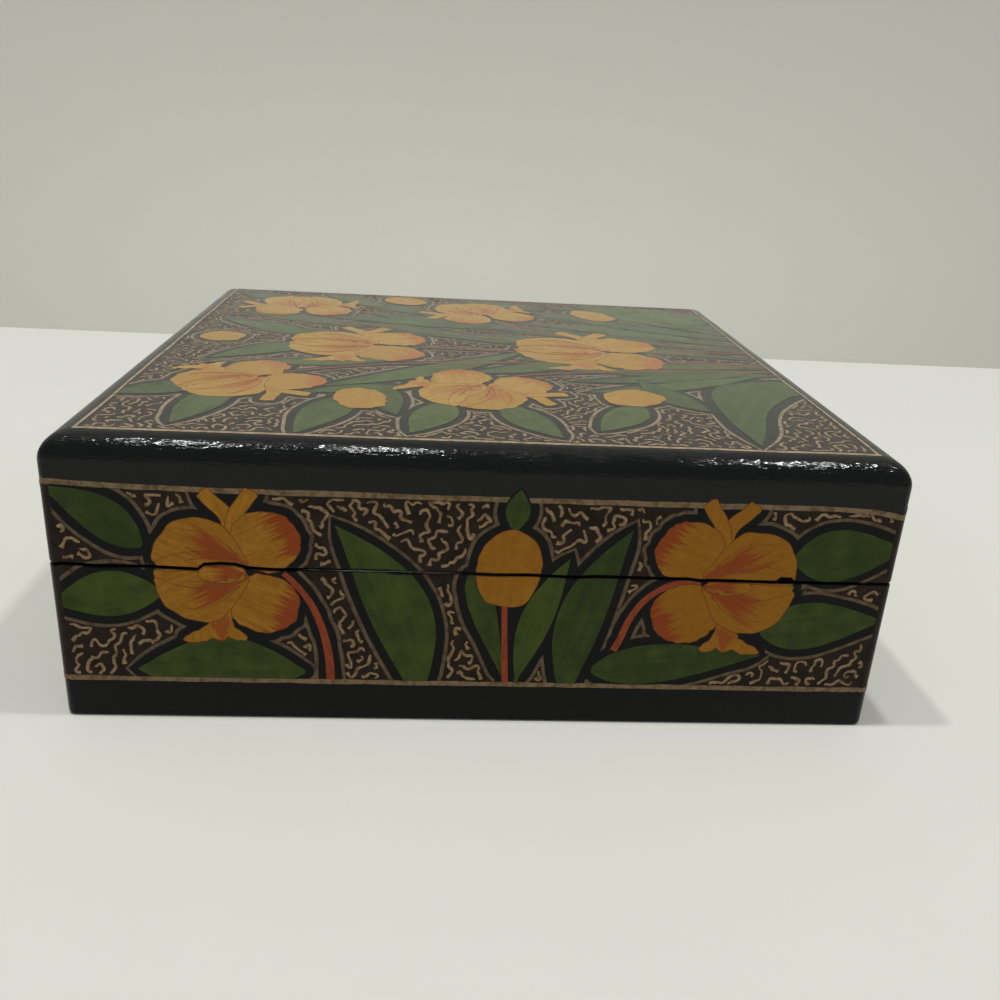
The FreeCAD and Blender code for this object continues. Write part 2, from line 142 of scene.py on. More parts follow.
class ColourSettings(bpy.types.PropertyGroup):
    """Colours of the paints, woods and metals; most side paints are darker copies of the top's, a painted
    shade.
    """

    black: colour("Black", "Lacquer of the ground and the borders", (0.0035, 0.0042, 0.0044))
    wash: colour("Wash", "Brown wash under the scrollwork", (0.024, 0.0135, 0.008))
    gold: colour("Gold", "Lines and scrollwork on the lid's top", (0.41, 0.315, 0.20))
    dull_gold: colour("Dull gold", "Outlines of the ground on the lid's top", (0.30, 0.235, 0.155))
    # Each side_ colour but the stem's is a darker copy of the top's paint: painted shade for the upright
    # sides, which stand in less light.
    side_gold: colour("Side gold", "Lines on the sides", (0.245, 0.168, 0.094))
    side_scroll: colour("Side scroll", "Scrollwork on the sides", (0.33, 0.225, 0.125))
    side_dull_gold: colour("Side dull gold", "Outlines of the ground on the sides", (0.14, 0.10, 0.06))
    leaf: colour("Leaf", "Leaves on the lid's top", (0.058, 0.092, 0.020))
    side_leaf: colour("Side leaf", "Leaves on the sides", (0.0446, 0.071, 0.0106))
    petal: colour("Petal", "Irises and buds on the lid's top", (0.42, 0.252, 0.032))
    side_petal: colour("Side petal", "Irises and buds on the sides", (0.358, 0.162, 0.008))
    blush: colour("Blush", "Red shading of the petals on the top", (0.37, 0.068, 0.022))
    side_blush: colour("Side blush", "Red shading of the petals on the sides", (0.275, 0.042, 0.009))
    petal_line: colour("Petal line", "Dark lines between the petals", (0.16, 0.05, 0.012))
    crease: colour("Crease", "Fine lines on the petals", (0.27, 0.09, 0.016))
    stem: colour("Stem", "Flower stems on the lid's top", (0.24, 0.085, 0.05))
    side_stem: colour("Side stem", "Flower stems on the sides", (0.306, 0.058, 0.02))
    wood: colour("Wood", "Boards where the lacquer has rubbed through", (0.30, 0.17, 0.085))
    brass: colour("Brass", "Hinges and their screws", (0.62, 0.42, 0.17))
    steel: colour("Steel", "Brads", (0.40, 0.39, 0.37))
    backdrop: colour("Backdrop", "Wall behind the box", (0.97, 0.965, 0.895))
    floor: colour("Floor", "Surface that the box stands on", (0.725, 0.73, 0.67))


class StageSettings(bpy.types.PropertyGroup):
    """Camera, backdrop and lamps."""

    camera_place: FloatVectorProperty(
        name="Camera place", description="Where the camera stands", subtype="TRANSLATION",
        unit="LENGTH", default=(-9.25 * MM, -212.08 * MM, 98.05 * MM))
    camera_turn: bearing("Camera turn", "Turn about the upright, to the left", -4.498)
    camera_dip: bearing("Camera dip", "How far the camera looks down", 21.538)
    camera_roll: bearing("Camera roll", "Roll about the line of sight", 3.393)
    camera_lens: amount("Lens", "Focal length in millimetres", 34.54)
    wall_distance: length("Wall distance", "From the box's middle to the wall", 227.5 * MM)
    sky: amount("Sky", "Strength of the even light all round", 0.32)
    overhead: amount("Overhead", "Power of the large lamp above, in watts", 0.5)
    glint: amount("Glint", "Power of each small ceiling lamp, in watts", 5.6)


class BoxSettings(bpy.types.PropertyGroup):
    """All settings of the box."""

    skin: PointerProperty(type=SkinSettings)
    paint: PointerProperty(type=PaintSettings)
    colours: PointerProperty(type=ColourSettings)
    stage: PointerProperty(type=StageSettings)


def settings():
    """The box's settings in this scene."""
    return bpy.context.scene.papier_mache_box


# ---- shader writing

class Value:
    """A shader value. Arithmetic on it adds the Math nodes that work it out."""

    def __init__(self, finish, socket):
        self.finish = finish
        self.socket = socket

    def maths(self, operation, *others):
        """The result of one Math node on this value and the others."""
        operands = dict(enumerate((self, *others)))
        return self.finish.node("ShaderNodeMath", {"operation": operation}, operands)

    def __add__(self, other):
        return self.maths("ADD", other)

    def __sub__(self, other):
        return self.maths("SUBTRACT", other)

    def __rsub__(self, other):
        return self.finish.node("ShaderNodeMath", {"operation": "SUBTRACT"}, {0: other, 1: self})

    def __mul__(self, other):
        return self.maths("MULTIPLY", other)

    def __abs__(self):
        return self.maths("ABSOLUTE")

    __radd__ = __add__
    __rmul__ = __mul__

    def above_nothing(self):
        """This value, or 0 where it is negative."""
        return self.maths("MAXIMUM", 0.0)

    def step(self, start, end):
        """0 where this is at start, 1 where it is at end, smooth between them."""
        return self.finish.node(
            "ShaderNodeMapRange", {"interpolation_type": "SMOOTHSTEP"},
            {"Value": self, "From Min": start, "From Max": end})


class Finish:
    """A material while it is written. Its node method adds any kind of node."""

    def __init__(self, name):
        self.varnish = VARNISH.get(name.split("_")[0])
        self.material = bpy.data.materials.new(name)
        self.material.use_nodes = True
        self.tree = self.material.node_tree
        self.tree.nodes.clear()

    def node(self, kind, choices=None, values=None, output=0):
        """Adds a node: first its choices, then the values or links of its sockets."""
        node = self.tree.nodes.new(kind)
        for name, choice in (choices or {}).items():
            setattr(node, name, choice)
        for name, value in (values or {}).items():
            socket = node.inputs[name]
            if isinstance(value, Value):
                self.tree.links.new(value.socket, socket)
            elif socket.type == "RGBA":
                socket.default_value = (*value, 1.0)
            else:
                socket.default_value = value
        return Value(self, node.outputs[output]) if node.outputs else None

    def place(self):
        """Where the surface is on the box."""
        return self.node("ShaderNodeTexCoord", output="Object")

    def stroke_place(self):
        """Along (0 to 1) and across (-1 to 1) the painted shape."""
        return self.node("ShaderNodeUVMap", {"uv_map": "stroke"})

    def shape_value(self, name):
        """A number that each painted shape carries."""
        return self.node("ShaderNodeAttribute", {"attribute_name": name}, output="Fac")

    def part(self, where, axis):
        """One coordinate of a place."""
        return self.node("ShaderNodeSeparateXYZ", values={"Vector": where}, output=axis)

    def stretched(self, where, scale, shift=(0.0, 0.0, 0.0)):
        """The same place on a stretched and shifted pattern."""
        return self.node(
            "ShaderNodeMapping", values={"Vector": where, "Scale": scale, "Location": shift})

    def noise(self, where, scale, detail, lumpiness=0.5, slice_at=0.0):
        """Soft noise from 0 to 1, with this many features to the metre."""
        return self.node(
            "ShaderNodeTexNoise", {"noise_dimensions": "4D"}, {
                "Vector": where, "W": slice_at, "Scale": scale, "Detail": detail,
                "Roughness": lumpiness})

    def patches(self, name):
        """Soft-edged patches over the box, from 0 to 1."""
        scale, detail, lumpiness, start, end = PATCHES[name]
        return self.noise(self.place(), scale, detail, lumpiness).step(start, end)

    def streaks(self, along, across, detail=3.0):
        """Brush streaks that run along each painted shape, different on every shape."""
        place = self.stretched(self.stroke_place(), (along, across, 1.0))
        return self.noise(place, 1.6, detail, 0.6, self.shape_value("tone") * 9.0)

    def mixed(self, share, first, second):
        """A colour between two colours."""
        return self.node(
            "ShaderNodeMix", {"data_type": "RGBA"}, {0: share, 6: first, 7: second}, output=2)

    def surface(self, clear_behind=False, **sockets):
        """Ends the material with one Principled surface, which may be clear from behind."""
        values = {name.replace("_", " "): value for name, value in sockets.items()}
        shader = self.node("ShaderNodeBsdfPrincipled", values=values)
        if clear_behind:
            behind = self.node("ShaderNodeNewGeometry", output="Backfacing")
            clear = self.node("ShaderNodeBsdfTransparent")
            shader = self.node("ShaderNodeMixShader", values={0: behind, 1: shader, 2: clear})
        self.node("ShaderNodeOutputMaterial", values={"Surface": shader})
        return self.material


# ---- finishes

# How strongly each place's varnish mirrors, as its index of refraction.
VARNISH = {"top": 1.36, "lid": 1.31, "side": 1.21, "base": 1.21, "board": 1.25}
# Each kind's features to the metre, detail and lumpiness, and where in the noise it starts and is full.
PATCHES = {
    "varnish smears": (120, 3, 0.6, 0.35, 0.8), "black smears": (240, 5, 0.65, 0.45, 0.85),
    "wash clouds": (420, 4, 0.6, 0.3, 0.7), "thick gold": (700, 4, 0.7, 0.3, 0.62),
    "leaf specks": (1700, 2, 0.7, 0.66, 0.72), "petal specks": (1500, 2, 0.7, 0.67, 0.73),
    "board rubs": (190, 5, 0.7, 0.56, 0.64), "board smears": (150, 4, 0.6, 0.3, 0.8),
    "stage mottle": (30, 6, 0.7, 0.2, 0.8)}
SWELLS_PER_METRE = 55.0
RIPPLES_PER_METRE = 620.0
GRIT_PER_METRE = 2100.0
SWELL_HEIGHT = 0.10
RIPPLE_HEIGHT = 0.03
GRIT_HEIGHT = 0.008
DRAG_HEIGHT = 0.004
DRAG_STRETCH = (260.0, 260.0, 2300.0)
# Brushed ripples near the lid's rounded edge: their strength, their pattern and the heights they span.
EDGE_RIPPLE = 0.15
EDGE_STRETCH = (420.0, 420.0, 2500.0)
EDGE_FROM = (0.0450, 0.0470)
EDGE_TO = (0.0498, 0.0494)
LACQUER_DUST = (0.002, 0.0015, 0.0005)
BOARD_DUST = (0.003, 0.003, 0.003)
THIN_GOLD = (0.42, 0.36, 0.30)
DEEP_LEAF = (0.55, 0.62, 0.75)
LIGHT_LEAF = (1.45, 1.25, 1.3)
DEEP_PETAL = (0.80, 0.66, 0.6)
DARK_PETAL = (0.84, 0.80, 0.85)
PALE_PETAL = (1.18, 1.24, 2.2)
RUST = (0.16, 0.08, 0.045)
BRASS_TARNISH = (0.30, 0.17, 0.07)


def tinted(tone, *shares):
    """A colour made darker or lighter, by a share for each channel or by one for all."""
    return tuple(channel * share for channel, share in zip(tone, shares * (3 // len(shares))))


def dusted(tone, share, dust):
    """A colour made paler by a share and by the dust on it."""
    return tuple(channel * share + speck for channel, speck in zip(tone, dust))


def rubbed_lacquer(finish, relief, edge_ripple):
    """The bump shared by every lacquered surface: hand-smoothed swells, ripples, brush drag and grit."""
    place = finish.place()
    swells = finish.noise(place, SWELLS_PER_METRE, 1.0)
    ripples = finish.noise(place, RIPPLES_PER_METRE, 2.0)
    drag = finish.noise(finish.stretched(place, DRAG_STRETCH), 1.0, 2.0)
    grit = finish.noise(place, GRIT_PER_METRE, 3.0, 0.7)
    above = finish.part(place, "Z")
    at_edge = above.step(*EDGE_FROM) * above.step(*EDGE_TO) * edge_ripple
    strokes = finish.noise(finish.stretched(place, EDGE_STRETCH), 1.0, 2.0, 0.6)
    brushed = strokes * at_edge + ripples * RIPPLE_HEIGHT
    height = swells * SWELL_HEIGHT + brushed + drag * DRAG_HEIGHT + grit * GRIT_HEIGHT
    return finish.node(
        "ShaderNodeBump", values={"Height": height, "Distance": MM, "Strength": relief})


def lacquered(finish, tone, dull=0.18, spread=0.16, relief=1.0, edge_ripple=0.0):
    """Ends a material as a colour under its place's varnish, which is duller in smears."""
    return finish.surface(
        IOR=finish.varnish,
        Base_Color=tone,
        Roughness=finish.patches("varnish smears") * spread + dull,
        Normal=rubbed_lacquer(finish, relief, edge_ripple))


def black_lacquer(name, edge_ripple=0.0):
    """The black ground: nearly neutral, with dusty, browner smears."""
    finish = Finish(name)
    black = settings().colours.black
    smears = finish.patches("black smears")
    ground = finish.mixed(smears, black, dusted(black, 1.5, LACQUER_DUST))
    return lacquered(finish, ground, dull=0.08, edge_ripple=edge_ripple)


def brown_wash(name, wash):
    """The thin brown wash that shows between the strokes of the scrollwork."""
    finish = Finish(name)
    clouds = finish.patches("wash clouds")
    return lacquered(finish, finish.mixed(clouds, tinted(wash, 0.45), wash))


def gold_paint(name, gold):
    """Gold paint brushed thinly, so that it goes from bright to brownish along a stroke."""
    finish = Finish(name)
    paint = finish.mixed(finish.patches("thick gold"), tinted(gold, *THIN_GOLD), gold)
    return lacquered(finish, paint, dull=0.26, relief=0.8)


def leaf_green(name, green):
    """Green leaf paint with faint strokes along the leaf and a tone of its own for each leaf."""
    finish = Finish(name)
    tone = finish.shape_value("tone")
    clouds = finish.noise(finish.place(), 260.0, 4.0, 0.6)
    share = (finish.streaks(1.0, 2.2) * 0.4 + clouds * 0.6 + tone * 0.3 - 0.15).step(0.3, 0.75)
    painted = finish.mixed(share, tinted(green, *DEEP_LEAF), tinted(green, *LIGHT_LEAF))
    specks = finish.patches("leaf specks") * 0.6
    return lacquered(finish, finish.mixed(specks, painted, settings().colours.black), dull=0.16)


def petal_yellow(name, petal, blush):
    """Ochre petals with a red blush that combs out in fine strokes, at the heart or at the edge."""
    finish = Finish(name)
    stroke = finish.stroke_place()
    along = finish.part(stroke, "X")
    blush_at = finish.shape_value("blush")
    teeth = finish.streaks(0.25, 5.5, 2.0) - 0.5
    at_edge = (along + teeth * 0.9).step(0.74, 0.86) * blush_at.above_nothing()
    wedge = (abs(finish.part(stroke, "Y")) - along * 0.9 + teeth * 0.5).step(0.26, 0.02)
    plume = (along + teeth * 1.1).step(0.74, 0.52) * wedge
    at_heart = plume * (0.0 - blush_at).above_nothing()
    grain = finish.noise(finish.place(), 900.0, 3.0, 0.6)
    share = (finish.streaks(1.2, 3.0) * 0.6 + grain * 0.4).step(0.3, 0.7)
    tone = finish.shape_value("tone")
    # Each shape's tone moves its paint between a darker and a paler copy; on the sides' irises it also
    # carries painted light and shade.
    toned = finish.mixed(tone, tinted(petal, *DARK_PETAL), tinted(petal, *PALE_PETAL))
    yellow = finish.mixed(share, tinted(petal, *DEEP_PETAL), toned)
    blushed = finish.mixed(at_edge + at_heart, yellow, blush)
    specks = finish.patches("petal specks") * 0.5
    return lacquered(finish, finish.mixed(specks, blushed, settings().colours.petal_line))


def plain_paint(name, tone):
    """One paint with faint strokes along the brush's path."""
    finish = Finish(name)
    grain = finish.noise(finish.place(), 800.0, 3.0, 0.6)
    share = (finish.streaks(3.0, 2.5) * 0.5 + grain * 0.5).step(0.3, 0.6)
    return lacquered(finish, finish.mixed(share, tinted(tone, 0.55), tone))


def board_lacquer():
    """Boards lacquered black inside, rubbed through to the wood in places along the rim."""
    finish = Finish("board_lacquer")
    colours = settings().colours
    place = finish.place()
    grain = finish.noise(finish.stretched(place, (60.0, 60.0, 900.0)), 1.0, 4.0, 0.6)
    wood = finish.mixed(grain.step(0.3, 0.7), tinted(colours.wood, 0.55), colours.wood)
    near_rim = abs(finish.part(place, "Z") - SEAM).step(0.0012, 0.0)
    rubbed = near_rim * finish.patches("board rubs")
    smears = finish.patches("board smears")
    lacquer = finish.mixed(smears, colours.black, dusted(colours.black, 2.2, BOARD_DUST))
    return lacquered(finish, finish.mixed(rubbed, lacquer, wood), dull=0.3, spread=0.3)


def worn_metal(name, bright, tarnish, dull):
    """Metal with cloudy tarnish and fine scratches."""
    finish = Finish(name)
    place = finish.place()
    clouds = finish.noise(place, 380.0, 5.0, 0.65)
    scratches = finish.noise(finish.stretched(place, (6000.0, 500.0, 500.0)), 1.0, 2.0)
    height = clouds * 0.02 + scratches * 0.006
    return finish.surface(
        Base_Color=finish.mixed(clouds.step(0.35, 0.7), bright, tarnish),
        Metallic=1.0,
        Roughness=clouds * 0.25 + dull,
        Normal=finish.node("ShaderNodeBump", values={"Height": height, "Distance": MM}))


# ---- mesh helpers

def new_object(name, bm, material):
    """Turns a bmesh into an object of the scene with one finish."""
    mesh = bpy.data.meshes.new(name)
    bm.to_mesh(mesh)
    bm.free()
    mesh.materials.append(material)
    made = bpy.data.objects.new(name, mesh)
    bpy.context.scene.collection.objects.link(made)
    return made


def new_piece(name, bm, material, body, thickness=0.0):
    """Turns a bmesh into a piece that rides on a body; thickness backs a flat piece with its paint."""
    piece = new_object(name, bm, material)
    if thickness:
        backing = piece.modifiers.new("paint_depth", "SOLIDIFY")
        backing.thickness = thickness
        backing.offset = -1.0
    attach(piece, body)
    return piece


def mesh_of(curve):
    """The mesh that a curve makes; the curve is removed."""
    holder = bpy.data.objects.new(curve.name, curve)
    mesh = bpy.data.meshes.new_from_object(holder)
    bpy.data.objects.remove(holder)
    bpy.data.curves.remove(curve)
    return mesh


def add_mesh(bm, mesh):
    """Adds a mesh to a bmesh, removes it, and returns its new vertices and faces."""
    vert_count, face_count = len(bm.verts), len(bm.faces)
    bm.from_mesh(mesh)
    bpy.data.meshes.remove(mesh)
    bm.verts.ensure_lookup_table()
    bm.faces.ensure_lookup_table()
    return bm.verts[vert_count:], bm.faces[face_count:]


def gather(target, source):
    """Adds one bmesh to another and frees it."""
    mesh = bpy.data.meshes.new("gathered")
    source.to_mesh(mesh)
    source.free()
    add_mesh(target, mesh)


def moved(bm, matrix, verts=None):
    """A bmesh after a transform of its vertices, or of some of them."""
    bmesh.ops.transform(bm, verts=verts or bm.verts[:], matrix=matrix)
    return bm


def cut(bm, place, normal, keep=None, only=None):
    """Cuts along a plane. keep is "front" or "back" of it, or both; only picks the faces to cut."""
    faces = [face for face in bm.faces if only is None or only(face)]
    parts = dict.fromkeys(part for face in faces for part in (face, *face.edges, *face.verts))
    bmesh.ops.bisect_plane(
        bm, geom=list(parts), dist=1e-7, plane_co=place, plane_no=normal,
        clear_outer=keep == "back", clear_inner=keep == "front")


def crop(bm, axis, low, high):
    """Cuts off what lies below one place on an axis and beyond another."""
    cut(bm, axis * low, axis, keep="front")
    cut(bm, axis * high, axis, keep="back")


def side_turn(side, size):
    """The turn from the front of the box to a side."""
    return Matrix.Rotation(side * QUARTER, size, "Z")


def side_matrix(side):
    """From a side's own plane (along it, up, out of it) to its place on the box."""
    return side_turn(side, 4) @ Matrix(((1, 0, 0, 0), (0, 0, -1, -FACE), (0, 1, 0, 0), (0, 0, 0, 1)))


def stray(dice, reach):
    """A random shift either way."""
    return dice.uniform(-reach, reach)


def on_runs(knots, place):
    """The value at a place, on straight runs between (place, value) knots."""
    for (left, low), (right, high) in zip(knots, knots[1:]):
        if place <= right:
            return low + (high - low) * (place - left) / (right - left)
    return knots[-1][1]


# ---- the broken seam

LIP_STEPS = 3
DRIFT_REACH = 1.5 * MM
DRIFT_PITCH = 2.6 * MM
DRIFT_PLAY = 0.8 * MM
STRAIGHT_END = 67.6 * MM
FRONT_DRIFT = [
    (-67.6, 0.25), (-65, 0.15), (-62, -0.12), (-57.5, 0.02), (-54, 0.06), (-50, -0.08),
    (-46.3, -0.24), (-45.2, 0.72), (-42.5, 0.98), (-40.2, 0.86), (-38.4, 0.3), (-35, 0.05),
    (-31.5, 0.03), (-29, 0.2), (-24, 0.16), (-20, 0.26), (-16.5, 0.24), (-13.5, 0.02),
    (-10, 0.14), (-4, 0.24), (2, 0.1), (8, 0.2), (12, 0.06), (15.5, -0.02),
    (19, 0.22), (25, 0.16), (31, 0.14), (34, 0.2), (36.2, -0.06), (39, 0.04),
    (49, -0.02), (53.5, 0), (58, -0.05), (62, 0.03), (67.6, 0.06)]
LID_CHIP = [(49.4, 0.1), (50, 0.72), (51.9, 0.66), (52.4, 0.04)]


def lip_inset(distance):
    """How far the rounded lip falls back at this distance from the skin's edge."""
    radius = settings().skin.lip_radius
    if distance >= radius:
        return 0.0
    return radius * (1 - math.sqrt(max(0.0, 1 - (1 - distance / radius) ** 2)))


def seam_edge(body):
    """The height at which the body's skin stops, and the way from there into its body."""
    reveal = settings().skin.seam_reveal
    return (SEAM + reveal, 1.0) if body == "lid" else (SEAM - reveal, -1.0)


def seam_drift(body, side):
    """How the body's edge strays along one side: (place, rise) pairs in metres, in order."""
    if side == FRONT:
        chip = LID_CHIP if body == "lid" else []
        inside = [knot for knot in FRONT_DRIFT if not (chip and chip[0][0] < knot[0] < chip[-1][0])]
        return [(place * MM, rise * MM) for place, rise in sorted(inside + chip)]
    knots = []
    if side != BACK:
        dice = random.Random(f"{settings().paint.seed} seam {side}")
        drift = settings().skin.seam_drift
        count = round(2 * STRAIGHT_END / DRIFT_PITCH)
        for number in range(count):
            place = -STRAIGHT_END + (number + 0.5) * 2 * STRAIGHT_END / count
            knots.append((place + stray(dice, DRIFT_PLAY), stray(dice, drift)))
    return [(-STRAIGHT_END, 0.0), *knots, (STRAIGHT_END, 0.0)]


def rise_at(knots, place):
    """The drift at a place, which falls to nothing within a millimetre beyond the knots."""
    if knots[0][0] <= place <= knots[-1][0]:
        return on_runs(knots, place)
    nearest = knots[0] if place < knots[0][0] else knots[-1]
    return nearest[1] * max(0.0, 1 - abs(place - nearest[0]) / MM)


def warp_seam(height, place, body, knots):
    """The height of a point once the broken edge has pulled it."""
    edge, way = seam_edge(body)
    share = max(0.0, 1 - max((height - edge) * way, 0.0) / DRIFT_REACH)
    return height + rise_at(knots, place) * share


def near_seam(body, height):
    """Whether a height lies in the strip that the broken edge pulls."""
    edge, way = seam_edge(body)
    return (height - edge) * way < DRIFT_REACH


# ---- skins

CORNER_STEPS = 7
TOP_EDGE_STEPS = 12
FOOT_STEPS = 3
SHARP_ANGLE = math.radians(38)


def rounding(height_from, radius, steps, opening):
    """(inset, height) steps of a quarter round: opening leaves an end at full inset, else it reaches it."""
    made = []
    for number in range(steps + 1):
        sine, cosine = math.sin(QUARTER * number / steps), math.cos(QUARTER * number / steps)
        inset, rise = (1 - sine, 1 - cosine) if opening else (1 - cosine, sine)
        made.append((radius * inset, height_from + radius * rise))
    return made


def base_profile():
    """Steps up the base's outer face, from the foot to the lip at the seam."""
    skin = settings().skin
    edge, _way = seam_edge("base")
    foot = rounding(0, skin.foot_radius, FOOT_STEPS, opening=True)
    lip = rounding(edge - skin.lip_radius, skin.lip_radius, LIP_STEPS, opening=False)
    return [*foot, (0, edge - DRIFT_REACH), *lip]


def lid_profile():
    """Steps up the lid's outer face, from the lip at the seam to the flat of the top."""
    skin = settings().skin
    edge, _way = seam_edge("lid")
    lip = rounding(edge, skin.lip_radius, LIP_STEPS, opening=True)
    shoulder = rounding(TOP_FACE - skin.top_radius, skin.top_radius, TOP_EDGE_STEPS, opening=False)
    return [*lip, (0, edge + DRIFT_REACH), *shoulder]


def shrunk(share, rise):
    """A transform that draws a level loop in by a share and lifts it."""
    return Matrix.Translation((0, 0, rise)) @ Matrix.Diagonal((share, share, 1, 1))


def rounded_loop(bm, inset, height):
    """A square loop of edges with rounded corners, lying at a height."""
    bmesh.ops.create_grid(bm, x_segments=1, y_segments=1, size=FACE)
    bmesh.ops.bevel(
        bm, geom=bm.verts[:], offset=settings().skin.corner_radius, offset_type="OFFSET",
        segments=CORNER_STEPS, profile=0.5, affect="VERTICES", material=-1)
    moved(bm, shrunk((FACE - inset) / FACE, height))
    edges = bm.edges[:]
    bmesh.ops.delete(bm, geom=bm.faces[:], context="FACES_ONLY")
    return edges


def raise_walls(profile):
    """Pulls a rounded loop up through a profile, and returns the open form and its last loop."""
    bm = bmesh.new()
    inset, height = profile[0]
    loop = rounded_loop(bm, inset, height)
    for next_inset, next_height in profile[1:]:
        pulled = bmesh.ops.extrude_edge_only(bm, edges=loop)["geom"]
        verts = [part for part in pulled if isinstance(part, bmesh.types.BMVert)]
        loop = [part for part in pulled if isinstance(part, bmesh.types.BMEdge)]
        moved(bm, shrunk((FACE - next_inset) / (FACE - inset), next_height - height), verts)
        inset, height = next_inset, next_height
    return bm, loop


def side_of(point):
    """Which side a point of the walls is on, and how far along that side."""
    if abs(point.y) >= abs(point.x):
        return (FRONT, point.x) if point.y < 0 else (BACK, -point.x)
    return (RIGHT, point.y) if point.x > 0 else (LEFT, -point.y)


def break_seam(bm, body):
    """Slices the skin near the seam and pulls its edge along the broken line."""
    drifts = [seam_drift(body, side) for side in SIDES]
    for side in SIDES:
        along, out = (side_turn(side, 3) @ axis for axis in (X_AXIS, -Y_AXIS))
        for place, _rise in drifts[side]:
            cut(bm, along * place, along,
                only=lambda face: near_seam(body, face.calc_center_median().z)
                and face.normal.dot(out) > 0.5)
    for vert in bm.verts:
        side, place = side_of(vert.co)
        if near_seam(body, vert.co.z):
            vert.co.z = warp_seam(vert.co.z, place, body, drifts[side])


def on_back(face):
    """Whether a face of the skin lies on the back of the box."""
    return face.calc_center_median().y > FACE - MM


def cut_hinge_notches(bm):
    """Opens the skin where the hinge barrels stand out at the back."""
    play = settings().skin.notch_play
    for name in ("left_hinge_base_leaf", "right_hinge_base_leaf"):
        low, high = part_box(name)
        reach = high.z - SEAM + play
        low_x, high_x, low_z, high_z = low.x - play, high.x + play, SEAM - reach, SEAM + reach
        for axis, places in ((X_AXIS, (low_x, high_x)), (Z_AXIS, (low_z, high_z))):
            for place in places:
                cut(bm, axis * place, axis, only=lambda face: on_back(face) and face.normal.y > 0.5)
        inside = []
        for face in filter(on_back, bm.faces):
            middle = face.calc_center_median()
            if low_x < middle.x < high_x and low_z < middle.z < high_z:
                inside.append(face)
        bmesh.ops.delete(bm, geom=inside, context="FACES")


def outer_form(body, low=None, high=None):
    """The outside of one half of the box, open where the halves meet, or a strip of its walls."""
    bm, loop = raise_walls(base_profile() if body == "base" else lid_profile())
    if body == "lid":
        bmesh.ops.edgeloop_fill(bm, edges=loop)
    bmesh.ops.recalc_face_normals(bm, faces=bm.faces[:])
    wall = next(face for face in bm.faces if abs(face.normal.x) > 0.9)
    if wall.normal.dot(wall.calc_center_median()) < 0:
        bmesh.ops.reverse_faces(bm, faces=bm.faces[:])
    if low is not None:
        crop(bm, Z_AXIS, low, high)
    break_seam(bm, body)
    cut_hinge_notches(bm)
    return bm


def skin_piece(body):
    """One papier-mache skin, lacquered black."""
    bm = outer_form(body)
    bmesh.ops.solidify(bm, geom=bm.faces[:], thickness=SKIN)
    for face in bm.faces:
        face.smooth = True
    lacquer = black_lacquer(f"{body}_black_lacquer", EDGE_RIPPLE)
    piece = new_piece(f"{body}_black_skin", bm, lacquer, body)
    piece.data.set_sharp_from_angle(angle=SHARP_ANGLE)
    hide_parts(f"{body}_papier_mache_skin")


# ---- shapes drawn with a brush

CURVE_STEPS = 6
FINE_CURVE_STEPS = 3
FINE_OUTLINE = 22
LEAF_TIP = 7
LEAF_SHARES = (0.05, 0.2, 0.4, 0.6, 0.8, 0.93)
# How far up a bud, and how wide it is there as a share of its width.
BUD_STEPS = ((0.0, 0.42), (0.12, 0.78), (0.34, 0.97), (0.6, 1.0), (0.84, 0.74))


def drawn_shape(outline, sharp):
    """A flat mesh filled inside a smooth outline in millimetres; sharp points stay pointed."""
    curve = bpy.data.curves.new("brush_outline", "CURVE")
    curve.dimensions = "2D"
    curve.fill_mode = "BOTH"
    curve.resolution_u = CURVE_STEPS if len(outline) < FINE_OUTLINE else FINE_CURVE_STEPS
    spline = curve.splines.new("BEZIER")
    spline.bezier_points.add(len(outline) - 1)
    for number, (knot, point) in enumerate(zip(spline.bezier_points, outline)):
        knot.co = (point[0] * MM, point[1] * MM, 0)
        knot.handle_left_type = knot.handle_right_type = "VECTOR" if number in sharp else "AUTO"
    spline.use_cyclic_u = True
    return mesh_of(curve)


def grown(outline, by, dice=None, wobble=0.0):
    """The outline moved outwards by a distance, unsteadily when a wobble is given."""
    count = len(outline)
    points = [Vector(point) for point in outline]
    area = sum(points[n - 1].cross(points[n]) for n in range(count))
    way = 1.0 if area > 0 else -1.0
    made = []
    for number, point in enumerate(points):
        chord = points[(number + 1) % count] - points[number - 1]
        outward = Vector((chord.y, -chord.x)).normalized() * way
        made.append(point + outward * (by + (stray(dice, wobble) if dice else 0.0)))
    return made


def smoothed(points, steps, closed=False):
    """More points on a smooth line through the given ones."""
    points = [Vector(point) for point in points]
    last = len(points) - 1
    made = []
    for number in range(last + closed):
        before, here, there, beyond = (
            points[at % len(points) if closed else min(max(at, 0), last)]
            for at in range(number - 1, number + 3))
        for step in range(steps):
            share = step / steps
            linear = there - before
            bend = before * 2 - here * 5 + there * 4 - beyond
            twist = here * 3 - before - there * 3 + beyond
            made.append(here + (linear * share + bend * share ** 2 + twist * share ** 3) * 0.5)
    return made if closed else [*made, points[-1]]


def left_of(run):
    """A run turned a quarter to the left."""
    return Vector((-run.y, run.x))


def banks(steps):
    """Points to the left of (middle, reach) steps, and those to the right in backward order."""
    left = [middle + reach for middle, reach in steps]
    return left, [middle - reach for middle, reach in reversed(steps)]


def leaf_outline(base, tip, width, belly, bow):
    """A leaf from base to pointed tip: belly is where it is widest, bow how far its middle bends left."""
    base, tip = Vector(base), Vector(tip)
    spine = tip - base
    side = left_of(spine).normalized()
    power = math.log(0.5) / math.log(belly)
    left, right = banks([
        (base + spine * share + side * bow * 4 * share * (1 - share),
         side * (width / 2) * math.sin(math.pi * share ** power)) for share in LEAF_SHARES])
    return [base, *left, tip, *right]


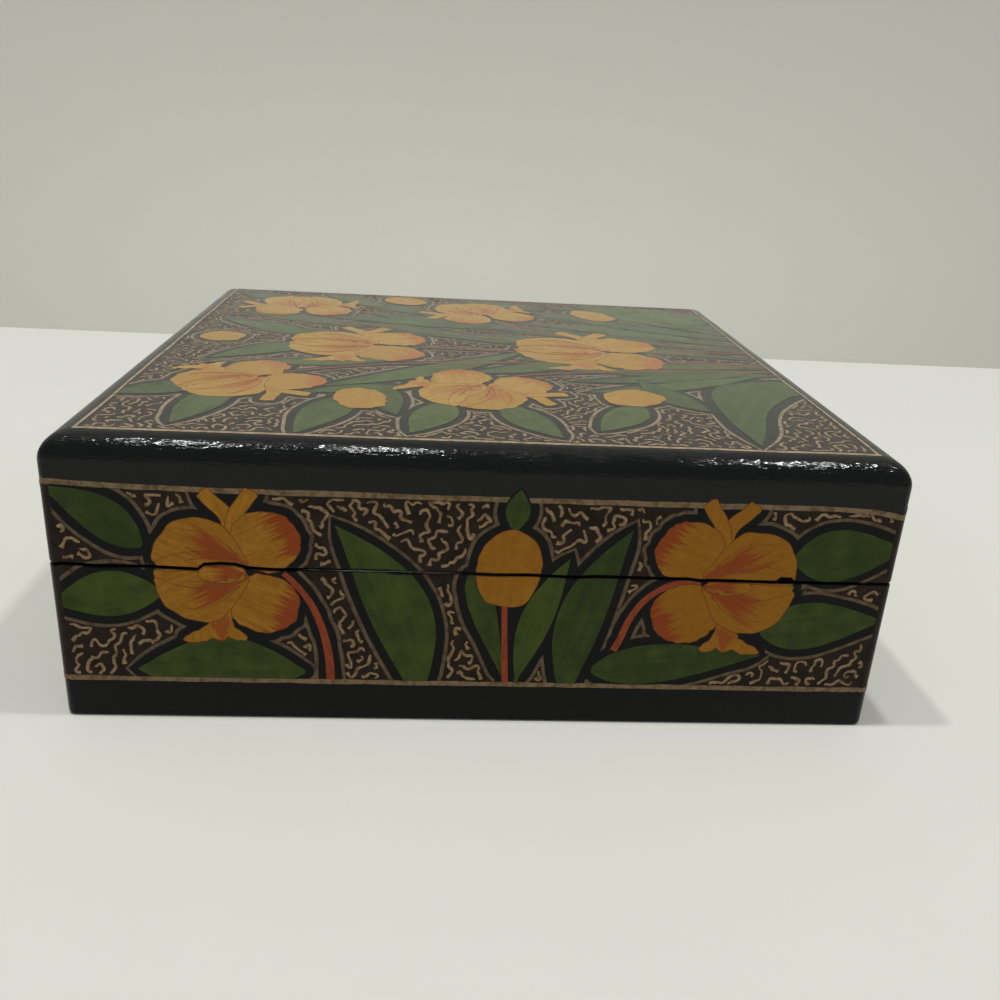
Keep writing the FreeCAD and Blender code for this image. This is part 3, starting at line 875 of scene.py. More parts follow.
def stroke_outline(path, width_from, width_to):
    """A brush stroke along a path, from one width to another, with rounded ends."""
    points = [Vector(point) for point in path]
    last = len(points) - 1
    steps = []
    for number, point in enumerate(points):
        side = left_of(points[min(number + 1, last)] - points[max(number - 1, 0)]).normalized()
        steps.append((point, side * (width_from + (width_to - width_from) * number / last) / 2))
    left, right = banks(steps)
    return [*left, *right]


def stroke_ends(path):
    """The corner points of a stroke's outline."""
    count = len(path)
    return (0, count - 1, count, 2 * count - 1)


def oval_outline(centre, reach_x, reach_y, frill, dice, count=14):
    """A rounded petal with a slightly frilled edge."""
    points = []
    for number in range(count):
        angle = 2 * math.pi * number / count
        ruffle = 1 + stray(dice, frill)
        points.append((
            centre[0] + reach_x * ruffle * math.cos(angle),
            centre[1] + reach_y * ruffle * math.sin(angle)))
    return points


# ---- the painter's work on one face

# Each kind lies over the one before, lifted off the skin by so many millimetres and one step more
# for each shape; a leaf or petal and the line round it are counted together.
KINDS = ("outline", "halo", "leaf_line", "leaf", "stem", "petal_line", "petal", "crease")
LAID_WITH = {"leaf_line": "leaf", "petal_line": "petal"}
FIRST_LIFT = {
    "outline": 0.030, "halo": 0.048, "leaf": 0.068, "stem": 0.0865, "petal": 0.0892, "crease": 0.124}
LIFT_STEP = 0.0002
FINE_LIFT_STEP = 0.00015
WASH_LIFT = 0.020
WASH_PLACE = Matrix.Translation((0, 0, WASH_LIFT * MM))
LINE_LIFT = 0.0665
# How red a petal is at its edge, or with a minus at its heart.
EDGE_BLUSH = 0.9
HEART_BLUSH = -0.85
SKIRT_BLUSH = -0.68
# The black round a stem or a lip, as a share of that round a leaf or a petal.
STEM_HALO = 0.8
LIP_HALO = 0.2
# The hand's play on a petal's edge and on a hood's points, in millimetres.
EDGE_PLAY = 0.14
HOOD_PLAY = (0.25, 0.2)
FRILL = 0.03
CREASE_TAIL = 0.05
# The default half width of a shape's stroke, in millimetres.
HALF_STROKE = 5.0
# The green tip of a bud: its length and width as shares of the bud's width, and how far it laps it.
TIP_LENGTH = 0.68
TIP_WIDTH = 0.38
TIP_OVERLAP = 0.04

# Parts of an iris in millimetres ahead of its heart and beside it.
HOOD = [
    (-1.6, 0.5), (-0.8, 3.2), (0.8, 6.4), (3.2, 8.7), (6.4, 9.2), (9.8, 8.2), (12.3, 5.6), (13.2, 2.6),
    (13, 0.8), (12.2, -0.1), (6, 0.1)]
# path, greatest width
HOOD_CREASES = [
    ([(-0.6, 0.9), (2.6, 2.9), (6.4, 3.3), (10.2, 2.6), (13, 1.4)], 0.24),
    ([(-0.2, 2.6), (2, 5), (5.4, 6.8), (8.4, 7)], 0.2),
    ([(1.6, 1.5), (4.4, 2.1), (7.6, 1.9)], 0.34)]
# path, width at the flower, width at its end
FORK_ARMS = [
    ([(0.7, 6.2), (0.9, 8.8), (1.9, 10.6), (3.4, 12), (4.8, 13.6)], 2.5, 2.2),
    ([(0.6, 6.4), (0.2, 9), (-0.6, 10.8), (-1.6, 12.2), (-2.7, 13.9)], 2.3, 2.3)]
SKIRT = [
    (1.3, 6.8), (1.2, 9.2), (0.4, 10.8), (-1.2, 12.3), (0.6, 12.8), (1.9, 12.1), (3, 12.9), (4.6, 12.4),
    (6.2, 13.1), (9.3, 12.9), (7.4, 11.4), (5.4, 10.2), (4.7, 8.6), (4.9, 6.4)]
SKIRT_SHARP = (3, 9)
# side of the iris, middle of the fall
FALLS = ((-1, (-4.2, 5.9)), (1, (-4.6, 5.3)))
FALL_REACH = (5.7, 5.3)
FALL_POINTS = 17
# middle, reach ahead, reach beside
LIP = ((2.4, -0.7), 3.8, 1.5)


def blank_flat():
    """An empty bmesh ready for shapes that carry their stroke, tone and blush."""
    flat = bmesh.new()
    flat.loops.layers.uv.new("stroke")
    flat.faces.layers.float.new("tone")
    flat.faces.layers.float.new("blush")
    return flat


class PaintedFace:
    """The flat shapes painted on one face, sorted by kind, in the face's own plane."""

    def __init__(self, name, flipped=False):
        self.flats = {kind: blank_flat() for kind in KINDS}
        self.laid = dict.fromkeys(KINDS, 0)
        self.dice = random.Random(f"{settings().paint.seed} {name}")
        self.name = name
        self.flipped = flipped
        self.tone_span = (0.2, 0.8)

    def shape(self, kind, outline, sharp=(), axis=None, blush=0.0):
        """Lays one flat shape of paint a hair above the last of its kind."""
        if self.flipped:
            outline = [(-point[0], point[1]) for point in outline]
        counted = LAID_WITH.get(kind, kind)
        step = FINE_LIFT_STEP if counted in ("outline", "halo") else LIFT_STEP
        lift = FIRST_LIFT[counted] + self.laid[counted] * step
        self.laid[counted] += 1
        verts, faces = add_mesh(self.flats[kind], drawn_shape(outline, sharp))
        for vert in verts:
            vert.co.z = lift * MM
        axis = axis or (outline[0], outline[len(outline) // 2], HALF_STROKE)
        self.mark(self.flats[kind], faces, axis, blush)

    def mark(self, flat, faces, axis, blush):
        """Gives the new faces their place along the stroke, their tone and their blush."""
        start, end, half = axis
        mirror = -1 if self.flipped else 1
        origin = Vector((start[0] * mirror, start[1])) * MM
        run = Vector((end[0] * mirror, end[1])) * MM - origin
        size = max(run.length, 1e-6)
        run.normalize()
        across = left_of(run) * mirror
        stroke = flat.loops.layers.uv["stroke"]
        tone = self.dice.uniform(*self.tone_span)
        for face in faces:
            if face.normal.z < 0:
                face.normal_flip()
            face[flat.faces.layers.float["tone"]] = tone
            face[flat.faces.layers.float["blush"]] = blush
            for loop in face.loops:
                away = loop.vert.co.xy - origin
                loop[stroke].uv = (away.dot(run) / size, away.dot(across) / (half * MM))

    def ring(self, outline, sharp, halo):
        """The black round a shape, and the gold outline round that black."""
        paint = settings().paint
        wobble = paint.wobble / MM
        unsteady = grown(outline, paint.halo / MM * halo, self.dice, wobble)
        self.shape("outline", grown(unsteady, paint.rim / MM, self.dice, wobble / 2), sharp)
        self.shape("halo", unsteady, sharp)

    def lined(self, kind, outline, sharp, axis, halo, line, blush=0.0):
        """A leaf or a petal over its own dark line, inside its ring."""
        self.ring(outline, sharp, halo)
        self.shape(f"{kind}_line", grown(outline, line), sharp, axis)
        self.shape(kind, outline, sharp, axis, blush)

    def leaf(self, base, tip, width, belly, bow=0.0, halo=1.0, line=None):
        """A leaf and its ring."""
        outline = leaf_outline(base, tip, width, belly, bow)
        line = line or settings().paint.leaf_line / MM
        self.lined("leaf", outline, (LEAF_TIP,), (base, tip, width / 2), halo, line)

    def petal(self, outline, sharp, axis, blush, halo=1.0):
        """A petal and its ring."""
        self.lined("petal", outline, sharp, axis, halo, settings().paint.petal_line / MM, blush)

    def stem(self, path, width_from, width_to):
        """A flower's stem and its ring."""
        fine = smoothed(path, 3)
        outline = stroke_outline(fine, width_from, width_to)
        self.ring(outline, stroke_ends(fine), STEM_HALO)
        self.shape("stem", outline, stroke_ends(fine), (path[0], path[-1], width_to))

    def iris(self, heart, heading, size, lean=1, red=1.0, play=1.0):
        """An iris seen from the side: its stem comes from behind the heart, its hoods point ahead."""
        ahead = Vector((math.cos(math.radians(heading)), math.sin(math.radians(heading))))
        beside = left_of(ahead) * lean
        centre = Vector(heart)

        def out(point, flip=1):
            return centre + (ahead * point[0] + beside * point[1] * flip) * size

        def spread(outline, flip=1):
            return [out(point, flip) for point in outline]

        def ragged(outline, flip=1):
            fine = smoothed(outline, 3, closed=True)
            return spread(grown(fine, 0.0, self.dice, EDGE_PLAY * play), flip)

        def axis(start, end, half, flip=1):
            return out(start, flip), out(end, flip), half * size

        for path, near, far in FORK_ARMS:
            outline = stroke_outline(spread(smoothed(path, 2)), near * size, far * size)
            self.petal(outline, (2 * len(path) - 2,), axis(path[0], path[-1], far), 0.0)
        sharp = [3 * number for number in SKIRT_SHARP]
        self.petal(ragged(SKIRT, -1), sharp, axis((3.0, 12.4), (3.4, 6.4), 3.0, -1), SKIRT_BLUSH * red)
        for flip, middle in FALLS:
            fall = oval_outline(middle, *FALL_REACH, FRILL * play, self.dice, FALL_POINTS)
            self.petal(ragged(fall, flip), (), axis((2.0, 1.5), (-9.5, 7.2), 4.0, flip), EDGE_BLUSH * red)
        for flip in (-1, 1):
            hood = [
                [at + stray(self.dice, reach) for at, reach in zip(point, HOOD_PLAY)] for point in HOOD]
            along = axis((-1.8, 0.6), (11.0, 7.4), 3.4, flip)
            self.petal(ragged(hood, flip), (0,), along, HEART_BLUSH * red)
            for crease, width in HOOD_CREASES:
                path = spread(smoothed(crease, 2), flip)
                self.shape("crease", stroke_outline(path, width * size, CREASE_TAIL))
        lip = oval_outline(*LIP, FRILL, self.dice)
        self.petal(spread(lip), (), axis((-1.4, -0.7), (6.2, -0.7), 1.5), HEART_BLUSH * red, LIP_HALO)

    def bud(self, foot, head, width, tipped=True, play=1.0):
        """A closed bud, egg-shaped, with a green tip on it when it has one."""
        foot, head = Vector(foot), Vector(head)
        run = head - foot
        side = left_of(run).normalized() * width / 2
        left, right = banks([(foot + run * share, side * reach) for share, reach in BUD_STEPS])
        if tipped:
            tip = head + run.normalized() * width * TIP_LENGTH
            self.leaf(head - run * TIP_OVERLAP, tip, width * TIP_WIDTH, 0.5)
        fine = smoothed([*left, head, *right], 3, closed=True)
        outline = grown(fine, 0.0, self.dice, EDGE_PLAY * play)
        self.petal(outline, (), (foot, head, width / 2), 0.0)


# ---- the band round the sides

BAND_LEAVES = [
    # base, tip, width, belly, bow
    ((-54.8, 32), (-69.4, 41.9), 6.8, 0.38, -0.9), ((-51.8, 23.9), (-70, 21.4), 8.2, 0.46, -0.7),
    ((-29.4, 9.4), (-57.2, 9.4), 12.8, 0.48, 0), ((-10.4, 3), (-24.3, 36.6), 10.4, 0.5, -4),
    ((15.2, 3), (24.2, 37.2), 7.9, 0.5, 3), ((-1.9, 28.6), (4.3, 8.4), 4.4, 0.27, 0),
    ((6.4, 8), (14.2, 31.8), 5.4, 0.5, 1.1), ((51.8, 32.6), (70.8, 35), 9.5, 0.37, 0),
    ((48, 18.9), (69.4, 21.5), 9, 0.36, 0.3), ((19.4, 10.6), (49, 14.2), 7.7, 0.34, 0.2)]
BAND_STEMS = [
    # path, width at its start, width at its end
    ([(-32.6, 27.8), (-30.4, 25.5), (-28.1, 22), (-26.4, 17.4), (-25.4, 12), (-25.1, 5)], 0.9, 1.5),
    ([(36.5, 27.9), (31.5, 27.3), (27.6, 24.7), (25.2, 20.9), (23.9, 17), (22.9, 14.6)], 1, 1.25),
    ([(3.7, 23.4), (4.1, 16), (4.8, 5)], 0.95, 1.1)]
FRONT_HEAD_LINE = [(-70, 0.75), (-60, 0.35), (-45, 0), (0, -0.1), (60, 0), (66, -0.6), (70, -1.4)]
# Where the painted grounds end, and the room left at the seam, in millimetres.
BAND_END = 68.1
TOP_END = 64.5
SEAM_CLEAR = 1.15
# How far leaves and petals may pass the upper gold line, and how far the rest stays short of it.
PAST_LINE = 3.0 * MM
SHORT_OF_LINE = 0.2 * MM
LINE_LAP = 0.4


def paint_band(side):
    """Irises, bud and leaves of one side, as they lie in its plane."""
    face = PaintedFace(f"side {side}", flipped=side in (RIGHT, LEFT))
    for leaf in BAND_LEAVES:
        face.leaf(*leaf)
    for stem in BAND_STEMS:
        face.stem(*stem)
    face.tone_span = (0.3, 0.5)
    face.bud((3.6, 22.9), (4.7, 36.6), 10.5)
    # The left iris is painted lighter and the right one darker: partly the paint's own tone, partly painted
    # light and shade.
    face.tone_span = (0.65, 1.0)
    face.iris((-40.0, 28.0), 180, 1.0, lean=-1)
    face.tone_span = (0.1, 0.4)
    face.iris((38.9, 28.0), 0, 1.03)
    return face


def trim_band(flat, kind):
    """Cuts the flat shapes off at the gold lines and short of the corners."""
    paint = settings().paint
    over = kind in ("leaf_line", "leaf", "petal_line", "petal")
    head = paint.band_head + (PAST_LINE if over else -SHORT_OF_LINE)
    crop(flat, X_AXIS, -BAND_END * MM, BAND_END * MM)
    crop(flat, Y_AXIS, paint.band_foot + paint.line_width * LINE_LAP, head)


def give_depth(flat):
    """Turns flat shapes into thin layers of paint, backwards from their faces."""
    fronts = flat.verts[:]
    bmesh.ops.extrude_face_region(flat, geom=flat.faces[:])
    bmesh.ops.translate(flat, verts=fronts, vec=(0, 0, -PAINT_DEPTH))
    bmesh.ops.recalc_face_normals(flat, faces=flat.faces[:])


def settle_on_skin(flat, body, side):
    """Fits the flat shapes to the skin's lip and its broken edge, and moves them to their side."""
    edge, way = seam_edge(body)
    skin = settings().skin
    bare = settings().paint.bare_edge
    cut(flat, Y_AXIS * (edge + bare * way), Y_AXIS, keep="front" if body == "lid" else "back")
    rises = [
        skin.lip_radius * (1 - math.cos(QUARTER * number / LIP_STEPS))
        for number in range(2, LIP_STEPS + 1)]
    for rise in (*rises, DRIFT_REACH):
        cut(flat, Y_AXIS * (edge + rise * way), Y_AXIS)
    knots = seam_drift(body, side)
    for place, _rise in knots:
        cut(flat, X_AXIS * place, X_AXIS,
            only=lambda face: near_seam(body, face.calc_center_median().y))
    give_depth(flat)
    for vert in flat.verts:
        if near_seam(body, vert.co.y):
            vert.co.z -= lip_inset(abs(vert.co.y - edge))
            vert.co.y = warp_seam(vert.co.y, vert.co.x, body, knots)
    return moved(flat, side_matrix(side))


# ---- the bouquet on the lid

TOP_LEAVES = [
    # base, tip, width, belly, bow
    ((-47.4, -36.5), (-51.6, -61), 7.6, 0.45, 0.3), ((-24.6, -40.5), (-31.4, -64.2), 8.2, 0.42, 0),
    ((-18.4, -33), (-15.4, -52), 6.2, 0.45, -0.8), ((-14, -33.2), (-33, -39.4), 5, 0.45, -0.6),
    ((-6.4, -42), (-12.8, -62), 7.8, 0.45, 0.5), ((3.8, -42.5), (12.6, -62), 7.6, 0.45, -0.6),
    ((29.6, -40), (19.4, -57.5), 7.6, 0.42, 0.5), ((12, 2), (-30.4, -35), 7.4, 0.55, 2),
    ((26, -5), (-2.4, -20.6), 6.4, 0.5, 1), ((64, -8), (18.4, -24.4), 5.6, 0.5, 2),
    ((60, -14), (20, -32.4), 5.4, 0.5, 1.6), ((33, -20.5), (42.3, -43), 7.4, 0.55, -1.4),
    ((-51, -35.4), (-66, -45), 8, 0.42, 0), ((-34, 2), (-55.4, -16.6), 7.8, 0.42, -1),
    ((-40, 14), (-60, 24), 7, 0.42, 0.8), ((8, 8), (-32, 26), 7.4, 0.5, -2),
    ((18, 22), (-26, 37), 6.6, 0.5, -1.6), ((67.5, 46), (28, 62), 17, 0.36, 1),
    ((20, 52), (-6, 64.5), 6, 0.45, 0), ((-22, 47), (-40, 65), 6.4, 0.45, 0.6),
    ((-50, 52), (-64, 63), 6.6, 0.45, 0.6), ((40, 34), (14, 50), 6, 0.5, -1.2)]
TOP_FAN = [
    # base, tip, width, belly, bow: long leaves that lie close together
    ((68, -12), (14, -14), 5.6, 0.5, 1), ((68, -5), (8, -7), 6.2, 0.5, 1.5),
    ((68, 1), (-24, 17), 6.8, 0.5, -2), ((68, 8), (-14, 29), 7.4, 0.5, -2.4),
    ((68, 14), (10, 34), 7, 0.5, -2.4), ((68, 20), (16, 44), 7, 0.5, -3),
    ((68, 26), (22, 58), 7, 0.5, -3), ((68, 32), (30, 66), 7, 0.5, -2),
    ((10, 24), (-36, 31), 7.6, 0.5, -1.6), ((-6, 36), (-33, 53), 6.6, 0.5, -1.6),
    ((-14, 6), (-52, 13), 6.8, 0.5, -1.6), ((-26, 20), (-58, 33), 6.4, 0.5, -1.2),
    ((-16, -10), (-46, -18), 6, 0.5, 1.4)]
BORDER_LEAF = [
    (67.5, -17), (60, -18.6), (54.5, -20.3), (49.4, -23.5), (46.4, -28.5), (45.2, -34),
    (44.5, -46.7), (45, -55), (45.8, -62.6), (48.7, -55.7), (51.9, -45.8), (54.5, -40),
    (58, -34.8), (62.5, -29.5), (67.5, -26)]
BORDER_LEAF_SHARP = (0, 8, 14)
BORDER_LEAF_HALF = 7
TOP_STEMS = [
    # path, width at its start, width at its end
    ([(-13, 0.6), (6, 0.2), (30, 0)], 0.7, 1), ([(41, 5.2), (50, 7), (66, 8.2)], 0.7, 1),
    ([(41, -4.6), (50, -5.4), (66, -4.4)], 0.7, 1),
    ([(-39.4, -26.4), (-30, -20.8), (-20, -16.4), (-4, -12), (14, -9.6)], 0.7, 1),
    ([(3.4, -25), (10, -20.6), (20, -17.4), (40, -12.4), (66, -9.4)], 0.7, 1),
    ([(6, 32.6), (15, 23.4), (32, 17), (66, 12)], 0.7, 1),
    ([(-37.6, 31.4), (-30, 24.4), (-12, 18.6), (10, 12)], 0.7, 0.9)]
TOP_IRISES = [
    # heart, heading, size, lean
    ((-24.4, 1.6), 180, 1.28, -1), ((28, 4), 180, 1.42, -1), ((-43.6, -31), 218, 1.1, 1),
    ((0.6, -31.6), 248, 1.12, 1), ((-44, 43), 96, 1.12, 1), ((3, 43.4), 112, 1.12, 1)]
FAN_LINE = 1
FAN_HALO = 0.75
BORDER_HALO = 1.5
TOP_RED = 0.6
TOP_PLAY = 1.9
TOP_BUDS = [
    # foot, head, width
    ((-52, 3.2), (-61.4, 5), 9.4), ((-21, -48.4), (-24, -35.6), 9.4),
    ((33.8, -31.4), (24.2, -39.4), 10.6), ((-13.6, 53.6), (-22, 62), 10.4),
    ((36.6, 41.4), (29.6, 54.4), 9.8)]


def paint_bouquet():
    """Irises, buds, stems and leaves that fan over the lid from its right edge."""
    face = PaintedFace("top")
    for leaf in TOP_FAN:
        face.leaf(*leaf, halo=FAN_HALO, line=FAN_LINE)
    for leaf in TOP_LEAVES:
        face.leaf(*leaf)
    axis = (BORDER_LEAF[0], BORDER_LEAF[8], BORDER_LEAF_HALF)
    line = settings().paint.leaf_line / MM
    face.lined("leaf", BORDER_LEAF, BORDER_LEAF_SHARP, axis, BORDER_HALO, line)
    for stem in TOP_STEMS:
        face.stem(*stem)
    for iris in TOP_IRISES:
        face.iris(*iris, TOP_RED, TOP_PLAY)
    for bud in TOP_BUDS:
        face.bud(*bud, tipped=False, play=TOP_PLAY)
    return face


# ---- gold scrollwork

# Lengths in millimetres, and counts of steps.
STROKE_STEP = 0.62
STROKE_MOST = 16
STROKE_LEAST = 4
STROKE_APART = 0.98
SCROLL_CLEAR = 0.3
SCROLL_END = 0.6
SCROLL_FLATNESS = 0.22
GRID_PLAY = 0.4
# How a stroke turns, in radians: at a bend, round what is in its way, and by the hand's unrest.
BEND = (0.7, 1.7)
TURNS = (0.0, -0.9, 0.9, -1.7, 1.7)
UNREST = 0.2
TO_AND_FRO = 0.62
# Shares of the stroke's width: along it, at its start and at its tail.
STROKE_SWELL = (0.6, 1.25)
STROKE_START = (0.9, 1.6)
STROKE_TAIL = (0.35, 0.8)


def cell(point):
    """The millimetre square that a point lies in."""
    return int(point.x // 1), int(point.y // 1)


class Scrollwork:
    """Short curling strokes that fill the ground left free by the motifs."""

    def __init__(self, face, half, foot, head, avoid=None):
        self.cover = BVHTree.FromBMesh(face.flats["outline"])
        self.dice = random.Random(f"{settings().paint.seed} scroll {face.name}")
        self.half = half
        self.foot = foot
        self.head = head
        self.avoid = avoid
        self.near = {}
        self.strokes = []
        self.fill()

    def covered(self, point):
        """Whether a motif or the edge of the ground lies on or beside this point."""
        if not (-self.half < point.x < self.half and self.foot < point.y < self.head):
            return True
        if self.avoid is not None and abs(point.y - self.avoid) < SEAM_CLEAR:
            return True
        for dx, dy in ((0, 0), (1, 0), (-1, 0), (0, 1), (0, -1)):
            probe = Vector((point.x + dx * SCROLL_CLEAR, point.y + dy * SCROLL_CLEAR, 1.0)) * MM
            if self.cover.ray_cast(probe, -Z_AXIS)[0] is not None:
                return True
        return False

    def crowded(self, point, own):
        """Whether another stroke, or an older part of this one, is too close."""
        column, row = cell(point)
        for dx in (-1, 0, 1):
            for dy in (-1, 0, 1):
                for other in self.near.get((column + dx, row + dy), ()):
                    if (other - point).length < STROKE_APART:
                        return True
        return any((other - point).length < STROKE_APART * 0.8 for other in own[:-2])

    def grow(self, start):
        """One stroke: short straight runs joined by sharp turns, mostly to and fro."""
        point = start
        heading = self.dice.uniform(0, 2 * math.pi)
        way = self.dice.choice((-1, 1))
        run = self.dice.randint(1, 3)
        path = [point]
        for _step in range(self.dice.randint(6, STROKE_MOST)):
            if run == 0:
                heading += way * self.dice.uniform(*BEND)
                way = -way if self.dice.random() < TO_AND_FRO else way
                run = self.dice.randint(1, 3)
            run -= 1
            for turn in TURNS:
                ahead = heading + turn * way + stray(self.dice, UNREST)
                onward = point + Vector((math.cos(ahead), math.sin(ahead))) * STROKE_STEP
                if not (self.covered(onward) or self.crowded(onward, path)):
                    break
            else:
                break
            heading = ahead
            point = onward
            path.append(point)
        if len(path) >= STROKE_LEAST:
            self.strokes.append(path)
            for point in path:
                self.near.setdefault(cell(point), []).append(point)

    def fill(self):
        """Tries a stroke from every place of a jittered grid."""
        pitch = settings().paint.scroll_pitch / MM
        for row in range(round((self.head - self.foot) / pitch) + 1):
            for column in range(round(2 * self.half / pitch) + 1):
                start = Vector((
                    -self.half + (column + stray(self.dice, GRID_PLAY)) * pitch,
                    self.foot + (row + stray(self.dice, GRID_PLAY)) * pitch))
                if not self.covered(start) and not self.crowded(start, []):
                    self.grow(start)

    def ridges(self, above=None):
        """The strokes on one side of the seam as flattened ridges of paint, or all of them."""
        curve = bpy.data.curves.new("scroll", "CURVE")
        curve.dimensions = "3D"
        curve.resolution_u = 2
        curve.bevel_depth = settings().paint.scroll_width / 2
        curve.bevel_resolution = 0
        curve.use_fill_caps = True
        for path in self.strokes:
            if above is not None and (path[0].y > self.avoid) != above:
                continue
            spline = curve.splines.new("NURBS")
            spline.points.add(len(path) - 1)
            for knot, point in zip(spline.points, path):
                knot.co = (point.x * MM, point.y * MM, 0, 1)
                knot.radius = self.dice.uniform(*STROKE_SWELL)
            spline.points[0].radius = self.dice.uniform(*STROKE_START)
            spline.points[-1].radius = self.dice.uniform(*STROKE_TAIL)
            spline.order_u = 3
            spline.use_endpoint_u = True
        flat = bmesh.new()
        add_mesh(flat, mesh_of(curve))
        return moved(flat, WASH_PLACE @ Matrix.Diagonal((1, 1, SCROLL_FLATNESS, 1)))


# ---- gold lines and wash

LINE_PITCH = 3.2 * MM
LINE_PLAY = 0.09 * MM
BORDER_STEPS = 14
BORDER_PLAY = 0.14
BORDER_OVERRUN = 0.4
BORDER_TAPER = 0.95
THIN_BORDER = 0.6


def skin_strip(body, low, high, lift):
    """A strip of the skin's walls between two heights, a little proud of it."""
    bm = outer_form(body, low, high)
    bm.normal_update()
    for vert, move in [(vert, vert.normal * lift * MM) for vert in bm.verts]:
        vert.co += move
    return bm


def line_strip(body, height):
    """A hand-drawn gold line all round one half of the box."""
    paint = settings().paint
    half = paint.line_width / 2
    bm = skin_strip(body, height - half, height + half, LINE_LIFT)
    dice = random.Random(f"{paint.seed} line {body}")
    count = round(2 * STRAIGHT_END / LINE_PITCH)
    for number in range(count + 1):
        for axis in (X_AXIS, Y_AXIS):
            cut(bm, axis * (-STRAIGHT_END + number * 2 * STRAIGHT_END / count), axis)
    for vert in sorted(bm.verts, key=lambda vert: [round(at, 5) for at in vert.co]):
        vert.co.z += stray(dice, LINE_PLAY)
        side, place = side_of(vert.co)
        if body == "lid" and side == FRONT:
            vert.co.z += on_runs(FRONT_HEAD_LINE, place / MM) * MM
    return bm


def border_strokes(dice):
    """The gold border on top of the lid, drawn as four strokes."""
    paint = settings().paint
    reach = (HALF_WIDTH - paint.border_inset) / MM
    flat = bmesh.new()
    for turn in SIDES:
        path = []
        for number in range(BORDER_STEPS + 1):
            along = -reach - BORDER_OVERRUN + 2 * (reach + BORDER_OVERRUN) * number / BORDER_STEPS
            point = Vector((along, -reach + stray(dice, BORDER_PLAY)))
            point.rotate(Matrix.Rotation(turn * QUARTER, 2))
            path.append(point)
        width = paint.line_width / MM * (1.0 if turn == FRONT else THIN_BORDER)
        stroke = drawn_shape(stroke_outline(path, width, width * BORDER_TAPER), stroke_ends(path))
        for vert in add_mesh(flat, stroke)[0]:
            vert.co.z = (LINE_LIFT + turn * LIFT_STEP * 4) * MM
    give_depth(flat)
    return flat


# ---- operators

PAINT_PIECES = {
    "outline": "gold_outlines", "halo": "black_halos", "leaf_line": "leaf_lines", "leaf": "leaves",
    "stem": "stems", "petal_line": "petal_lines", "petal": "petals", "crease": "petal_creases"}


def paint_finishes(place):
    """The finish of each kind of painted shape on the lid's top or on the sides, made once."""
    colours = settings().colours

    # Painted shade: on the sides the gold, scroll, outlines, leaves, petals and blush take side_ colours,
    # darker copies of the top's.
    def tone(name):
        return getattr(colours, f"side_{name}" if place == "side" else name)

    makers = {
        "outline": (gold_paint, tone("dull_gold")),
        "gold": (gold_paint, tone("gold")),
        "scroll": (gold_paint, colours.side_scroll if place == "side" else colours.gold),
        "halo": (black_lacquer,),
        "leaf_line": (black_lacquer,),
        "leaf": (leaf_green, tone("leaf")),
        "stem": (plain_paint, tone("stem")),
        "petal_line": (plain_paint, colours.petal_line),
        "petal": (petal_yellow, tone("petal"), tone("blush")),
        "crease": (plain_paint, colours.crease),
        "wash": (brown_wash, colours.wash)}
    ready = {}
    for kind, (maker, *tones) in makers.items():
        name = f"{place}_{kind}"
        ready[kind] = bpy.data.materials.get(name) or maker(name, *tones)
    return ready


class BOX_OT_skins(bpy.types.Operator):
    """Build the papier-mache skins of the base and the lid"""

    bl_idname = "papier_box.skins"
    bl_label = "Papier-mache skins"

    def execute(self, context):
        for body in BODIES:
            skin_piece(body)
        return {"FINISHED"}


class BOX_OT_side_bands(bpy.types.Operator):
    """Paint the irises, leaves and scrollwork round the four sides"""

    bl_idname = "papier_box.side_bands"
    bl_label = "Painted side bands"

    def execute(self, context):
        paint = settings().paint
        finishes = paint_finishes("side")
        inside = paint.line_width / 2
        foot = (paint.band_foot + inside) / MM + SCROLL_CLEAR
        head = (paint.band_head - inside) / MM - SCROLL_CLEAR
        pots = {(kind, body): blank_flat() for kind in (*KINDS, "scroll") for body in BODIES}
        for side in SIDES:
            face = paint_band(side)
            scroll = Scrollwork(face, BAND_END - SCROLL_END, foot, head, SEAM / MM)
            for body in BODIES:
                ridges = moved(scroll.ridges(body == "lid"), side_matrix(side))
                gather(pots["scroll", body], ridges)
            for kind, flat in face.flats.items():
                trim_band(flat, kind)
                for body in BODIES:
                    gather(pots[kind, body], settle_on_skin(flat.copy(), body, side))
                flat.free()
        for body in BODIES:
            for kind in KINDS:
                if pots[kind, body].faces:
                    name = f"{body}_side_{PAINT_PIECES[kind]}"
                    new_piece(name, pots[kind, body], finishes[kind], body)
            new_piece(f"{body}_side_scrollwork", pots["scroll", body], finishes["scroll"], body)
        return {"FINISHED"}


class BOX_OT_lid_bouquet(bpy.types.Operator):
    """Paint the bouquet of irises on top of the lid"""

    bl_idname = "papier_box.lid_bouquet"
    bl_label = "Painted lid bouquet"

    def execute(self, context):
        finishes = paint_finishes("top")
        top = Matrix.Translation((0, 0, TOP_FACE))
        face = paint_bouquet()
        reach = TOP_END - SCROLL_END
        ridges = moved(Scrollwork(face, reach, -reach, reach).ridges(), top)
        new_piece("lid_top_scrollwork", ridges, finishes["scroll"], "lid")
        for kind, flat in face.flats.items():
            for axis in (X_AXIS, Y_AXIS):
                crop(flat, axis, -TOP_END * MM, TOP_END * MM)
            give_depth(flat)
            new_piece(f"lid_top_{PAINT_PIECES[kind]}", moved(flat, top), finishes[kind], "lid")
        border = moved(border_strokes(face.dice), top)
        new_piece("lid_top_gold_border", border, finishes["gold"], "lid")
        wash = bmesh.new()
        bmesh.ops.create_grid(wash, x_segments=1, y_segments=1, size=TOP_END * MM)
        new_piece("lid_top_wash", moved(wash, top @ WASH_PLACE), finishes["wash"], "lid", PAINT_DEPTH)
        return {"FINISHED"}


